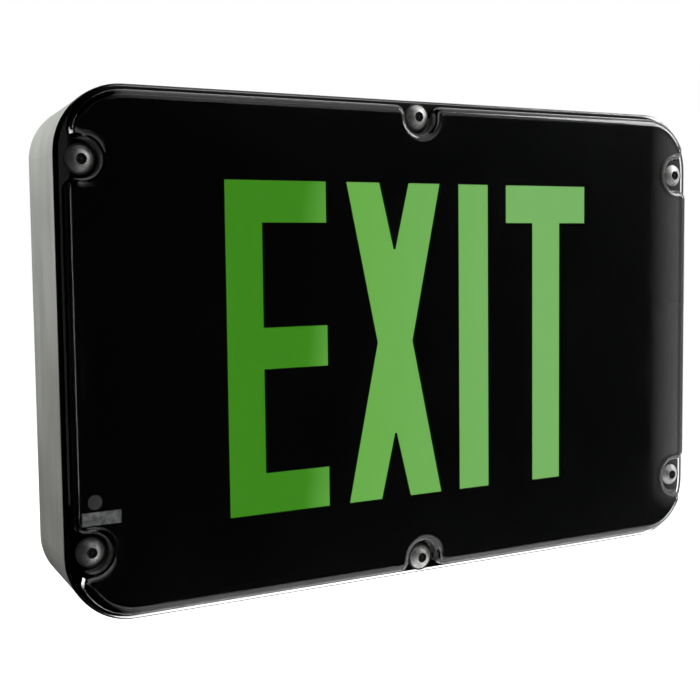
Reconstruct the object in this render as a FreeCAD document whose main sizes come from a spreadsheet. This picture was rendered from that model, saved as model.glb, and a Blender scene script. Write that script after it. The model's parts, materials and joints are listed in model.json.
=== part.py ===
import FreeCAD, Part
import math
import os
import re
import Sketcher

# Emergency exit light for wet places: a grey moulded housing that is fixed to a wall, a clear
# domed cover held by six screws in scallops, and a black stencil panel lit green from behind.
#
# Row frame: the origin is the centre of the back face, the wall is the plane Y = 0, the sign
# faces -Y, +X is to the viewer's right and +Z is up. A "level" is a distance out from the wall.

Vector = FreeCAD.Vector
Constraint = Sketcher.Constraint

# Driving sizes in millimetres, and angles in degrees: alias, value, meaning.
SIZES = [
    # cover and its six screws
    ("cover_width", 358, "overall width of the cover"),
    ("cover_height", 232, "overall height of the cover"),
    ("cover_radius", 30, "corner radius of the cover's outline"),
    ("flange_thickness", 4, "flange that the screws clamp"),
    ("flange_round", 1, "rounded front edge of the flange"),
    ("rim_width", 2.5, "flange seen outside the dome"),
    ("dome_rise", 5.5, "height of the dome over the flange"),
    ("dome_draft", 6, "slope of the dome's sides"),
    ("dome_wall", 2.4, "wall of the dome"),
    ("dome_round", 4, "rounded edge of the dome's face"),
    ("scallop_radius", 8, "scallop in the dome round a screw"),
    ("scallop_mouth", 5.1, "rounding where a scallop opens to the side"),
    ("screw_edge_side", 10, "side screws, from the cover's side edge"),
    ("screw_height_side", 83.5, "side screws, above and below the middle"),
    ("screw_edge_top", 7.8, "middle screws, from the cover's top or bottom edge"),
    ("screw_shank", 2.4, "cover screw's shank radius"),
    ("screw_length", 24, "cover screw under its head"),
    ("screw_head", 5.8, "cover screw's head radius"),
    ("screw_head_height", 2.5, "cover screw's head height"),
    ("screw_socket", 3.2, "hexagon socket across flats"),
    ("screw_socket_depth", 1.5, "depth of the socket"),
    ("screw_pin", 0.6, "radius of the pin that stands in the socket"),
    ("seal_radius", 6.6, "sealing washer under a cover screw"),
    ("seal_thickness", 0.6, "thickness of the sealing washer"),
    # back housing and gasket
    ("housing_depth", 52, "housing from the wall to its rim"),
    ("housing_inset", 0.4, "housing's rim inside the cover's edge"),
    ("housing_draft", 5, "outside slope, smaller towards the wall"),
    ("housing_back_round", 4, "rounded edge at the wall"),
    ("rim_land", 7, "width of the rim that carries the gasket"),
    ("cavity_draft", 1, "inside slope of the walls"),
    ("floor_thickness", 3.2, "back plate"),
    ("boss_radius", 9.8, "column round a cover screw, at the floor"),
    ("gasket_thickness", 2, "clamped gasket"),
    ("gasket_inset", 0.9, "gasket inside the cover's edge"),
    ("gasket_lobe", 8.6, "gasket round a cover screw"),
    ("wall_hole_circle", 88.9, "circle of the holes for a junction box"),
    ("wall_hole", 2.5, "radius of a wall screw's hole"),
    ("rear_entry", 11.1, "radius of the rear wire entry"),
    ("hub_across", 70, "top conduit hub, to the right of the middle"),
    ("hub_level", 27, "top conduit hub, out from the wall"),
    ("hub_hole", 10.3, "radius of the hub's threaded hole"),
    ("hub_boss", 14.5, "radius of the hub's boss inside the housing"),
    ("hub_length", 14, "length of the hub's hole"),
    ("plug_length", 11, "plug that closes the hub"),
    ("plug_recess", 0.8, "plug's top below the housing's top"),
    ("plug_socket", 9.5, "square socket in the plug"),
    # stencil panel and the word
    ("panel_clearance", 0.3, "gap between the panel and the cover"),
    ("panel_thickness", 1.6, "wall of the stencil panel"),
    ("letter_height", 152.4, "six-inch letters"),
    ("letter_stroke", 19.05, "three-quarter-inch strokes"),
    ("letter_e_width", 52.3, "width of the E"),
    ("letter_x_width", 53.8, "width of the X"),
    ("letter_x_waist", 20.8, "width of the X at half height"),
    ("letter_x_notch", 31.7, "depth of the X's upper and lower notch"),
    ("letter_t_width", 52.9, "width of the T"),
    ("letter_gap", 10.2, "gap between two letters"),
    ("diffuser_thickness", 2, "green diffuser"),
    ("diffuser_margin", 10.5, "diffuser beyond the word on every side"),
    ("diffuser_corner", 4, "corner radius of the diffuser"),
    ("stake_radius", 1.5, "heat stake that holds the diffuser"),
    ("stake_head", 2.3, "radius of a melted stake head"),
    ("stake_head_height", 0.8, "height of a melted stake head"),
    ("stake_edge", 3.4, "stake, in from the diffuser's side edge"),
    ("stake_end", 24.7, "upper and lower stakes, in from the diffuser's ends"),
    ("stake_fit", 0.15, "gap round a stake"),
    # light box
    ("light_box_depth", 34, "depth of the white light box"),
    ("light_box_wall", 1.6, "wall of the light box"),
    ("light_box_margin", 1.4, "light box opening beyond the word"),
    ("light_box_corner", 4, "outside corner radius of the light box"),
    ("light_box_screw_edge", 14, "light box screws, in from its edges"),
    ("lead_hole", 1.7, "hole for a lead in the light box's back"),
    ("led_board_end", 9.3, "strip of lamps, in from the light box's ends"),
    ("led_board_width", 10, "strip's width, out from the wall"),
    ("led_board_thickness", 1.6, "strip's thickness"),
    ("led_board_stand", 6, "strip, out from the light box's back"),
    ("led_count", 12, "lamps on one strip"),
    ("led_length", 3.5, "lamp along the strip"),
    ("led_width", 2.8, "lamp across the strip"),
    ("led_height", 1.2, "lamp above the strip"),
    # small screws inside
    ("post_radius", 4, "moulded post for a small screw"),
    ("small_shank", 1.6, "small screw's shank radius"),
    ("small_head", 3.2, "small screw's head radius"),
    ("small_head_height", 2, "small screw's head height"),
    ("small_length", 9, "small screw under its head"),
    ("hole_fit", 0.3, "gap round a screw that passes through"),
    ("thread_fit", 0.05, "gap round a screw that is driven in"),
    # charger board at the left
    ("board_side_gap", 9.4, "charger board, in from the housing's inner side at the floor"),
    ("board_width", 46, "charger board across"),
    ("board_height", 128, "charger board, up and down"),
    ("board_middle", 12, "middle of the charger board above the sign's middle"),
    ("board_thickness", 1.6, "charger board"),
    ("board_stand", 7, "charger board above the floor"),
    ("board_hole_edge", 5, "charger board's holes, in from its edges"),
    ("core_width", 36, "transformer core across"),
    ("core_height", 30, "transformer core, up and down"),
    ("core_stack", 16, "transformer core's stack of plates"),
    ("core_limb", 10, "middle limb of the core"),
    ("core_yoke", 6, "outer limbs and yokes of the core"),
    ("coil_overhang", 3, "coil beyond the stack at each face"),
    ("coil_fit", 0.3, "gap between the coil and the core"),
    ("core_middle", 34, "middle of the transformer above the sign's middle"),
    ("relay_left", 11, "relay, to the left of the board's middle"),
    ("relay_middle", 1, "middle of the relay above the sign's middle"),
    ("relay_width", 15.5, "relay across"),
    ("relay_length", 19, "relay, up and down"),
    ("relay_height", 15, "relay above the board"),
    ("capacitor_radius", 5, "smoothing capacitor"),
    ("capacitor_height", 16, "smoothing capacitor above the board"),
    ("capacitor_right", 12, "capacitors, to the right of the board's middle"),
    ("capacitor_pitch", 13, "spacing of the two capacitors, about the relay's middle"),
    ("terminal_width", 30, "terminal block across"),
    ("terminal_length", 11, "terminal block, up and down"),
    ("terminal_height", 12, "terminal block above the board"),
    ("terminal_middle", -33, "middle of the terminal block above the sign's middle"),
    ("terminal_pitch", 7.5, "spacing of the terminals"),
    ("terminal_hole", 1.9, "radius of a terminal's wire entry"),
    ("header_width", 7.5, "plug-in header for a pair of leads"),
    ("header_length", 6, "header, up and down"),
    ("header_height", 8, "header above the board"),
    ("header_pitch", 13, "spacing of the headers"),
    ("header_middle", 62, "headers above the sign's middle"),
    ("status_header_drop", 46, "status board's header below the sign's middle"),
    # battery at the right
    ("cell_radius", 11.3, "wrapped cell"),
    ("battery_length", 88, "two cells end to end"),
    ("battery_middle", -12, "middle of the battery above the sign's middle"),
    ("battery_side_gap", 10.2, "battery, in from the housing's inner side at the floor"),
    ("battery_fit", 0.3, "gap round the battery"),
    ("strap_thickness", 1, "steel strap over the battery"),
    ("strap_width", 22, "width of the strap"),
    ("strap_foot", 11, "length of the strap's foot"),
    ("strap_post", 8, "height of the posts under the strap's feet"),
    # status lamp at the lower left
    ("lamp_edge", 11.6, "status lamp, in from the cover's left edge"),
    ("lamp_foot", 54.4, "status lamp, up from the cover's lower edge"),
    ("lens_radius", 3.2, "status lamp's lens"),
    ("lens_flange", 3.8, "lens flange behind the panel"),
    ("lens_flange_thickness", 0.8, "thickness of the lens flange"),
    ("lens_fit", 0.05, "gap round the lens"),
    ("status_board_width", 17, "status board across"),
    ("status_board_height", 17, "status board, up and down"),
    ("status_board_thickness", 1.4, "status board"),
    ("status_board_stand", 5.6, "status board behind the panel"),
    ("status_board_edge", 3.1, "status lamp, in from the status board's left edge"),
    ("status_board_rise", 2, "middle of the status board above the status lamp"),
    ("status_post_edge", 3, "status board's posts, in from its right edge"),
    ("status_post_height", 6, "status board's posts, above and below its middle"),
    ("status_post_radius", 2.2, "shoulder of a status board post"),
    ("status_pin_radius", 1.1, "pin of a status board post"),
    ("status_pin_head", 1.8, "melted head of a status board post"),
    ("reed_right", 6.2, "test switch, to the right of the status lamp"),
    ("status_led", 1.5, "radius of the status lamp's diode"),
    ("status_led_height", 4.2, "diode above the status board"),
    ("reed_radius", 1.3, "magnet-operated test switch"),
    ("reed_length", 12, "length of the test switch"),
    ("legend_width", 17, "blank plate under the status lamp"),
    ("legend_height", 5.6, "height of the blank plate"),
    ("legend_thickness", 0.6, "thickness of the blank plate"),
    ("legend_seat", 0.5, "recess that the plate sits in"),
    ("legend_edge", 14.6, "middle of the blank plate, in from the cover's left edge"),
    ("legend_foot", 47.3, "middle of the blank plate, up from the cover's lower edge"),
    # leads
    ("lead_radius", 0.9, "sleeved pair of leads"),
    ("lead_turn", 0.45, "share of a run that a bend at its end takes"),
    ("battery_lead_edge", 22, "battery's lead, in from the cover's upper edge"),
    ("lead_pitch", 6.5, "spacing of the leads that run side by side"),
    ("lower_lead_across", 60, "lower strip's lead, to the left of the middle"),
    ("lower_lead_edge", 24, "lower strip's lead, up from the cover's lower edge"),
    ("lead_overlap", 3, "strip's lead along the strip, where it is soldered"),
    ("battery_lead_side", 15, "battery's lead, to the left of the battery's middle"),
    ("status_lead_drop", 4.4, "status board's lead below the board's middle"),
]

# Places that follow from the driving sizes: alias, formula.
PLACES = [
    ("gasket_front", "housing_depth + gasket_thickness"),
    ("flange_front", "gasket_front + flange_thickness"),
    ("dome_front", "flange_front + dome_rise"),
    ("panel_front", "dome_front - dome_wall - panel_clearance"),
    ("panel_back", "panel_front - panel_thickness"),
    ("diffuser_back", "panel_back - diffuser_thickness"),
    ("light_box_front", "diffuser_back - panel_clearance"),
    ("light_box_back", "light_box_front - light_box_depth"),
    ("light_box_floor", "light_box_back + light_box_wall"),
    ("screw_across", "cover_width / 2 - screw_edge_side"),
    ("screw_up", "cover_height / 2 - screw_edge_top"),
    ("screw_seat", "flange_front + seal_thickness"),
    ("panel_inset", "dome_wall + panel_clearance"),
    ("word_width", "letter_e_width + letter_x_width + letter_stroke + letter_t_width + 3 * letter_gap"),
    ("diffuser_width", "word_width + 2 * diffuser_margin"),
    ("diffuser_height", "letter_height + 2 * diffuser_margin"),
    ("light_box_width", "word_width + 2 * (light_box_margin + light_box_wall)"),
    ("light_box_height", "letter_height + 2 * (light_box_margin + light_box_wall)"),
    ("led_board_length", "light_box_width - 2 * led_board_end"),
    ("stake_height", "diffuser_height / 2 - stake_end"),
    ("cavity_side", "cover_width / 2 - housing_inset - rim_land"
                    " - tan(cavity_draft * 1 deg) * (housing_depth - floor_thickness)"),
    ("board_across", "-(cavity_side - board_side_gap - board_width / 2)"),
    ("board_back", "floor_thickness + board_stand"),
    ("board_front", "board_back + board_thickness"),
    ("battery_across", "cavity_side - battery_side_gap - 2 * cell_radius"),
    ("battery_back", "floor_thickness + battery_fit"),
    ("strap_level", "floor_thickness + strap_post"),
    ("lamp_across", "cover_width / 2 - lamp_edge"),
    ("lamp_height", "cover_height / 2 - lamp_foot"),
    ("legend_across", "cover_width / 2 - legend_edge"),
    ("legend_drop", "cover_height / 2 - legend_foot"),
    ("status_board_front", "panel_back - status_board_stand"),
    ("status_board_across", "-lamp_across + status_board_width / 2 - status_board_edge"),
    ("status_board_middle", "-lamp_height + status_board_rise"),
    ("status_post_across", "status_board_across + status_board_width / 2 - status_post_edge"),
    ("lead_level", "board_front + header_height / 2"),
    ("header_top", "header_middle + header_length / 2"),
    ("strip_lead_up", "light_box_height / 2 - light_box_wall - led_board_thickness - lead_radius"),
    ("strip_lead_front", "light_box_floor + led_board_stand + lead_overlap"),
    ("battery_lead_up", "cover_height / 2 - battery_lead_edge"),
    ("upper_lead_up", "battery_lead_up - lead_pitch"),
    ("lower_lead_up", "battery_lead_up - 2 * lead_pitch"),
    ("status_lead_up", "status_board_middle - status_lead_drop"),
    ("hub_top", "cover_height / 2 - housing_inset - tan(housing_draft * 1 deg) * (housing_depth - hub_level)"),
]

ALIASES = {row[0]: "Sizes" for row in SIZES} | {row[0]: "Places" for row in PLACES}

doc = FreeCAD.newDocument("EmergencyExitLight")


def cells(text):
    """Turns a formula of size and place names into one that reads the sheets' cells."""
    def cell(match):
        word = match.group(0)
        return f"{ALIASES[word]}.{word}" if word in ALIASES else word
    return re.sub(r"[a-z_]+", cell, text)


def fill_sheets():
    """Writes the driving sizes and the places that follow from them, one named cell to a row."""
    sizes = doc.addObject("Spreadsheet::Sheet", "Sizes")
    for row, (alias, value, meaning) in enumerate(SIZES, start=1):
        sizes.set(f"A{row}", meaning)
        sizes.set(f"B{row}", str(value))
        sizes.setAlias(f"B{row}", alias)
    places = doc.addObject("Spreadsheet::Sheet", "Places")
    for row, (alias, formula) in enumerate(PLACES, start=1):
        places.setAlias(f"B{row}", alias)
        places.set(f"B{row}", "=" + cells(formula).replace("Places.", ""))
    doc.recompute()


def number(text):
    """The value of a formula now, for the first guess of a sketch's geometry."""
    value = doc.Sizes.evalExpression(cells(text))
    return float(getattr(value, "Value", value))


# ---------------------------------------------------------------- sketches

def new_body(label, across="0", up="0"):
    """A body with its axis of turning at (across, up)."""
    body = doc.addObject("PartDesign::Body", label)
    body.setExpression("Placement.Base.x", cells(across))
    body.setExpression("Placement.Base.z", cells(up))
    return body


def origin_plane(body, role):
    return next(item for item in body.Origin.OriginFeatures if item.Role == role)


def sketch_at(body, name, level, role="XZ_Plane"):
    """A sketch on one of the body's planes, moved along the plane's normal by level."""
    sketch = body.newObject("Sketcher::SketchObject", name)
    sketch.AttachmentSupport = [(origin_plane(body, role), "")]
    sketch.MapMode = "FlatFace"
    sketch.setExpression("AttachmentOffset.Base.z", cells(level))
    return sketch


def dimension(sketch, kind, *geometry_and_formula):
    """Adds a dimension that follows a formula of the sheets."""
    *geometry, formula = geometry_and_formula
    index = sketch.addConstraint(Constraint(kind, *geometry, number(formula)))
    sketch.setExpression(f"Constraints[{index}]", cells(formula))


def place_point(sketch, geometry, end, across, up):
    dimension(sketch, "DistanceX", -1, 1, geometry, end, across)
    dimension(sketch, "DistanceY", -1, 1, geometry, end, up)


def outline(sketch, corners):
    """A closed outline. A corner is (across, up), or (across, up, radius) where an outward
    quarter arc of that radius leads to the next corner."""
    points = [Vector(number(corner[0]), number(corner[1]), 0) for corner in corners]
    ends = []
    for index, corner in enumerate(corners):
        start, end = points[index], points[(index + 1) % len(points)]
        if len(corner) == 2:
            edge = Part.LineSegment(start, end)
        else:
            chord = end - start
            outward = Vector(chord.y, -chord.x, 0).normalize()
            middle = (start + end) / 2 + outward * number(corner[2]) * (1 - math.sqrt(0.5))
            edge = Part.Arc(start, middle, end)
        geometry = sketch.addGeometry(edge, False)
        begins = (Vector(sketch.Geometry[geometry].StartPoint) - start).Length < 1e-6
        ends.append((geometry, 1 if begins else 2))
    for index, (geometry, first) in enumerate(ends):
        following, following_first = ends[(index + 1) % len(ends)]
        sketch.addConstraint(Constraint("Coincident", geometry, 3 - first, following, following_first))
    for (geometry, first), corner in zip(ends, corners):
        place_point(sketch, geometry, first, corner[0], corner[1])
        if len(corner) > 2:
            dimension(sketch, "Radius", geometry, corner[2])


def rectangle(sketch, width, height, radius=None, across="0", up="0"):
    """A rectangle about (across, up), with rounded corners where a radius is given."""
    left, right = f"{across} - ({width}) / 2", f"{across} + ({width}) / 2"
    low, high = f"{up} - ({height}) / 2", f"{up} + ({height}) / 2"
    if radius is None:
        outline(sketch, [(left, low), (right, low), (right, high), (left, high)])
        return
    outline(sketch, [
        (f"{left} + ({radius})", low), (f"{right} - ({radius})", low, radius),
        (right, f"{low} + ({radius})"), (right, f"{high} - ({radius})", radius),
        (f"{right} - ({radius})", high), (f"{left} + ({radius})", high, radius),
        (left, f"{high} - ({radius})"), (left, f"{low} + ({radius})", radius),
    ])


def circles(sketch, centres, radius):
    for across, up in centres:
        centre = Vector(number(across), number(up), 0)
        geometry = sketch.addGeometry(Part.Circle(centre, Vector(0, 0, 1), number(radius)), False)
        place_point(sketch, geometry, 3, across, up)
        dimension(sketch, "Radius", geometry, radius)


def notch(sketch, across, up, radius, reach, upward):
    """A U round (across, up) that opens to the right, or upwards, and runs on for reach."""
    centre = Vector(number(across), number(up), 0)
    turn = math.pi / 2 if upward else 0.0
    away = Vector(math.cos(turn), math.sin(turn), 0) * number(reach)
    first = centre + Vector(-math.sin(turn), math.cos(turn), 0) * number(radius)
    last = centre * 2 - first
    circle = Part.Circle(centre, Vector(0, 0, 1), number(radius))
    arc = sketch.addGeometry(Part.ArcOfCircle(circle, turn + math.pi / 2, turn + 3 * math.pi / 2), False)
    arm_in = sketch.addGeometry(Part.LineSegment(first + away, first), False)
    arm_out = sketch.addGeometry(Part.LineSegment(last, last + away), False)
    mouth = sketch.addGeometry(Part.LineSegment(last + away, first + away), False)
    along, over = ("Vertical", "Horizontal") if upward else ("Horizontal", "Vertical")
    for rule in (("Tangent", arm_in, 2, arc, 1), ("Tangent", arc, 2, arm_out, 1),
                 ("Coincident", arm_out, 2, mouth, 1), ("Coincident", mouth, 2, arm_in, 1),
                 (along, arm_in), (along, arm_out), (over, mouth)):
        sketch.addConstraint(Constraint(*rule))
    dimension(sketch, "Radius", arc, radius)
    place_point(sketch, arc, 3, across, up)
    dimension(sketch, "DistanceY" if upward else "DistanceX", arc, 3, arm_in, 1, reach)


# ---------------------------------------------------------------- features

def volume_change(body, feature):
    """Recomputes, and says how much the body's solid grew by the feature."""
    before = feature.BaseFeature.Shape.Volume if feature.BaseFeature else 0.0
    doc.recompute()
    return feature.Shape.Volume - before


def pad(body, sketch, length, taper=None, backward=False):
    """Adds material from the sketch towards the viewer, or backward."""
    feature = body.newObject("PartDesign::Pad", sketch.Name + "_pad")
    feature.Profile = sketch
    feature.Reversed = backward
    feature.setExpression("Length", cells(length))
    if taper:
        feature.setExpression("TaperAngle", cells(taper))
    if volume_change(body, feature) <= 0:
        raise RuntimeError(f"{feature.Name} adds nothing")
    return feature


def pocket(body, sketch, depth, taper=None, forward=False):
    """Removes material from the sketch towards the wall, or forward to the viewer."""
    feature = body.newObject("PartDesign::Pocket", sketch.Name + "_cut")
    feature.Profile = sketch
    feature.Reversed = forward
    feature.setExpression("Length", cells(depth))
    if taper:
        feature.setExpression("TaperAngle", cells(taper))
    if volume_change(body, feature) >= 0:
        raise RuntimeError(f"{feature.Name} cuts nothing")
    return feature


def combine(body, kind, tool):
    """Cuts another body's solid out of this one, or fuses it on."""
    feature = body.newObject("PartDesign::Boolean", f"{kind.lower()}_{tool.Name}")
    feature.Type = kind
    feature.Group = [tool]
    doc.recompute()
    return feature


def ease_edges(body, name, radius, wanted, kind="Fillet"):
    """Fillets or chamfers the edges of the body's solid that the test wanted(edge, faces) picks."""
    base = body.Tip
    names = [f"Edge{index}" for index, edge in enumerate(base.Shape.Edges, start=1)
             if wanted(edge, base.Shape.ancestorsOfType(edge, Part.Face))]
    feature = body.newObject("PartDesign::" + kind, name)
    feature.Base = (base, names)
    feature.setExpression("Radius" if kind == "Fillet" else "Size", cells(radius))
    doc.recompute()
    return feature


def at_level(level):
    """A test for edges that lie in the plane at a level."""
    depth = -number(level)
    return lambda edge, faces: abs(edge.BoundBox.YMin - depth) < 1e-4 and edge.BoundBox.YLength < 1e-4


def sharp_and_deep(edge, faces):
    """A test for edges that run out from the wall between two faces that meet at an angle."""
    if edge.BoundBox.YLength < max(edge.BoundBox.XLength, edge.BoundBox.ZLength) or len(faces) < 2:
        return False
    middle = edge.valueAt((edge.FirstParameter + edge.LastParameter) / 2)
    normals = [face.normalAt(*face.Surface.parameter(middle)) for face in faces]
    return normals[0].getAngle(normals[1]) > math.radians(20)


def scalloped_block(label, low, high, inset, radius, taper, mouth=None, edge=None):
    """A block that follows the cover's outline at a distance inset, and stands clear of the six
    cover screws by a radius. Both are taken at its low level; taper is the slope of its sides,
    inwards on the way out from the wall. It is the form of the dome, of its hollow, of the
    stencil panel and its hollow, of the housing's cavity and of the gasket's opening."""
    body = new_body(label)
    rise = f"({high} - ({low}))"
    outside = sketch_at(body, label + "_outline", low)
    rectangle(outside, f"cover_width - 2 * ({inset})", f"cover_height - 2 * ({inset})",
              f"cover_radius - ({inset})")
    pad(body, outside, rise, f"-({taper})")
    side = sketch_at(body, label + "_side_notch", low)
    notch(side, "screw_across", "screw_height_side", radius, "cover_radius", False)
    middle = sketch_at(body, label + "_middle_notch", low)
    notch(middle, "0", "screw_up", radius, "cover_radius", True)
    notches = [pocket(body, sketch, rise, taper, forward=True) for sketch in (side, middle)]
    pattern = body.newObject("PartDesign::MultiTransform", label + "_notches")
    pattern.Originals = notches
    mirrors = []
    for name, role in (("left", "YZ_Plane"), ("lower", "XY_Plane")):
        mirror = body.newObject("PartDesign::Mirrored", f"{label}_{name}")
        mirror.MirrorPlane = (origin_plane(body, role), [""])
        mirrors.append(mirror)
    pattern.Transformations = mirrors
    body.Tip = pattern
    doc.recompute()
    if mouth:
        ease_edges(body, label + "_mouths", mouth, sharp_and_deep)
    if edge:
        ease_edges(body, label + "_edge", edge, at_level(high))
    return body


def turned(label, across, up, profile):
    """A body turned about an axis square to the wall, from a profile of (radius, level)."""
    body = new_body(label, across, up)
    sketch = sketch_at(body, label + "_profile", "0", "XY_Plane")
    outline(sketch, [(radius, f"-({level})") for radius, level in profile])
    feature = body.newObject("PartDesign::Revolution", label + "_turning")
    feature.Profile = sketch
    feature.ReferenceAxis = (origin_plane(body, "Y_Axis"), [""])
    feature.Angle = 360
    doc.recompute()
    return body


def plate(label, across, up, level, width, height, thickness, radius=None):
    """A flat piece that lies parallel to the wall, with its back at a level."""
    body = new_body(label)
    sketch = sketch_at(body, label + "_outline", level)
    rectangle(sketch, width, height, radius, across, up)
    pad(body, sketch, thickness)
    return body


def group(label, items):
    """Separate identical solids under one name."""
    compound = doc.addObject("Part::Compound", label)
    compound.Links = items
    return compound


def mirrored(item, name, normal):
    copy = doc.addObject("Part::Mirroring", name)
    copy.Source = item
    copy.Normal = normal
    return copy


def mirrored_four(label, item):
    """The item and its copies to the left, below, and below to the left."""
    left = mirrored(item, label + "_left", Vector(1, 0, 0))
    lower = [mirrored(source, f"{label}_{name}_lower", Vector(0, 0, 1))
             for name, source in (("right", item), ("left", left))]
    return [item, left, *lower]


def corners_of(across, up, half_width, half_height):
    """Four centres about (across, up)."""
    return [(f"{across} {a} ({half_width})", f"{up} {b} ({half_height})") for a in "+-" for b in "+-"]


def at_cover_screws():
    """Centres of the six cover screws."""
    side = corners_of("0", "0", "screw_across", "screw_height_side")
    return side + [("0", "screw_up"), ("0", "-screw_up")]


def pan_head_profile(seat, head, head_height, shank, length):
    """Half the section of a screw whose head sits at a level, with a rounded top."""
    top = f"{seat} + {head_height}"
    return [("0", f"{seat} - {length}"), (shank, f"{seat} - {length}"), (shank, seat), (head, seat),
            (head, f"{seat} + 0.5 * {head_height}"), (f"0.8 * {head}", f"{seat} + 0.85 * {head_height}"),
            (f"0.5 * {head}", top), ("0", top)]


def small_screw(label, across, up, seat):
    return turned(label, across, up,
                  pan_head_profile(seat, "small_head", "small_head_height", "small_shank", "small_length"))


# ---------------------------------------------------------------- housing, gasket, cover

def dome_inset(inset, level):
    """Distance of the dome's side, or of what follows it inside, from the cover's edge."""
    return f"(rim_width + {inset} - tan(dome_draft * 1 deg) * (flange_front - {level}))"


def dome_notch(inset, level):
    """Radius that the dome, or what follows it inside, keeps clear round a cover screw."""
    return f"(scallop_radius + {inset} - tan(dome_draft * 1 deg) * (flange_front - {level}))"


def light_box_posts():
    """Centres of the four screws that hold the light box."""
    return corners_of("0", "0", "light_box_width / 2 - light_box_screw_edge",
                      "light_box_height / 2 - light_box_screw_edge")


def board_posts():
    """Centres of the four screws that hold the charger board."""
    return corners_of("board_across", "board_middle", "board_width / 2 - board_hole_edge",
                      "board_height / 2 - board_hole_edge")


def strap_feet():
    """Centres of the two screws that hold the battery strap."""
    reach = "(battery_length / 2 + battery_fit + strap_thickness + strap_foot / 2)"
    return [("battery_across", f"battery_middle {side} {reach}") for side in "+-"]


def back_housing():
    """Moulded box with a thick rim, six screw columns in its corners and sides, and posts."""
    body = new_body("back_housing")
    back = sketch_at(body, "housing_back", "0")
    inset = "(housing_inset + tan(housing_draft * 1 deg) * housing_depth)"
    rectangle(back, f"cover_width - 2 * {inset}", f"cover_height - 2 * {inset}", f"cover_radius - {inset}")
    pad(body, back, "housing_depth", "housing_draft")
    ease_edges(body, "housing_back_edge", "housing_back_round", at_level("0"))
    cavity_inset = "(housing_inset + rim_land + tan(cavity_draft * 1 deg) * (housing_depth - floor_thickness))"
    combine(body, "Cut", scalloped_block("housing_cavity", "floor_thickness", "housing_depth", cavity_inset,
                                         "boss_radius", "-cavity_draft"))
    boss = sketch_at(body, "hub_boss_outline", "hub_top - hub_length", "XY_Plane")
    circles(boss, [("hub_across", "-hub_level")], "hub_boss")
    pad(body, boss, "hub_length - rim_land / 2")
    for name, centres, top in (("light_box_posts", light_box_posts(), "light_box_back"),
                               ("board_posts", board_posts(), "board_back"),
                               ("strap_posts", strap_feet(), "strap_level")):
        posts = sketch_at(body, name, "floor_thickness")
        circles(posts, centres, "post_radius")
        pad(body, posts, f"{top} - floor_thickness")
        holes = sketch_at(body, name + "_holes", top)
        circles(holes, centres, "small_shank + thread_fit")
        pocket(body, holes, f"min(small_length; {top} - floor_thickness + floor_thickness / 2)")
    screw_holes = sketch_at(body, "cover_screw_holes", "housing_depth")
    circles(screw_holes, at_cover_screws(), "screw_shank + thread_fit")
    pocket(body, screw_holes, "screw_length - (screw_seat - housing_depth) + 2 * thread_fit")
    wall_holes = sketch_at(body, "wall_holes", "0")
    circles(wall_holes, [("wall_hole_circle / 2", "0"), ("-wall_hole_circle / 2", "0"),
                         ("0", "wall_hole_circle / 2"), ("0", "-wall_hole_circle / 2")], "wall_hole")
    pocket(body, wall_holes, "floor_thickness", forward=True)
    entry = sketch_at(body, "rear_entry_hole", "0")
    circles(entry, [("0", "0")], "rear_entry")
    pocket(body, entry, "floor_thickness", forward=True)
    hub = sketch_at(body, "hub_hole_outline", "cover_height / 2", "XY_Plane")
    circles(hub, [("hub_across", "-hub_level")], "hub_hole")
    pocket(body, hub, "cover_height / 2 - (hub_top - hub_length)")
    return body


def cover_gasket():
    """Flat rubber ring on the housing's rim, with a lobe under each cover screw."""
    body = plate("cover_gasket", "0", "0", "housing_depth", "cover_width - 2 * gasket_inset",
                 "cover_height - 2 * gasket_inset", "gasket_thickness", "cover_radius - gasket_inset")
    combine(body, "Cut", scalloped_block("gasket_opening", "housing_depth", "gasket_front",
                                         "housing_inset + rim_land", "gasket_lobe", "0"))
    holes = sketch_at(body, "gasket_screw_holes", "gasket_front")
    circles(holes, at_cover_screws(), "screw_shank + hole_fit")
    pocket(body, holes, "gasket_thickness")
    return body


def front_cover():
    """Clear cover moulded in one piece: a flange, and a dome with a scallop at each screw."""
    body = scalloped_block("front_cover", "flange_front", "dome_front", dome_inset("0", "flange_front"),
                           dome_notch("0", "flange_front"), "dome_draft", "scallop_mouth", "dome_round")
    flange = sketch_at(body, "flange_outline", "gasket_front")
    rectangle(flange, "cover_width", "cover_height", "cover_radius")
    pad(body, flange, "flange_thickness")
    edge = number("flange_front")
    side = number("cover_width / 2")

    def outer_front_edge(item, faces):
        flat = abs(item.BoundBox.YMin + edge) < 1e-4 and item.BoundBox.YLength < 1e-4
        return flat and any(abs(abs(face.BoundBox.XMax) - side) < 1e-4 or abs(abs(face.BoundBox.XMin) - side) < 1e-4
                            or abs(abs(face.BoundBox.ZMax) - number("cover_height / 2")) < 1e-4
                            or abs(abs(face.BoundBox.ZMin) - number("cover_height / 2")) < 1e-4
                            for face in faces if face.normalAt(0, 0).y > -0.5)

    ease_edges(body, "flange_edge", "flange_round", outer_front_edge)
    hollow = scalloped_block("cover_hollow", "gasket_front", "dome_front - dome_wall",
                             dome_inset("dome_wall", "gasket_front"), dome_notch("dome_wall", "gasket_front"),
                             "dome_draft")
    combine(body, "Cut", hollow)
    holes = sketch_at(body, "cover_holes", "flange_front")
    circles(holes, at_cover_screws(), "screw_shank + hole_fit")
    pocket(body, holes, "flange_thickness")
    return body


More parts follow.
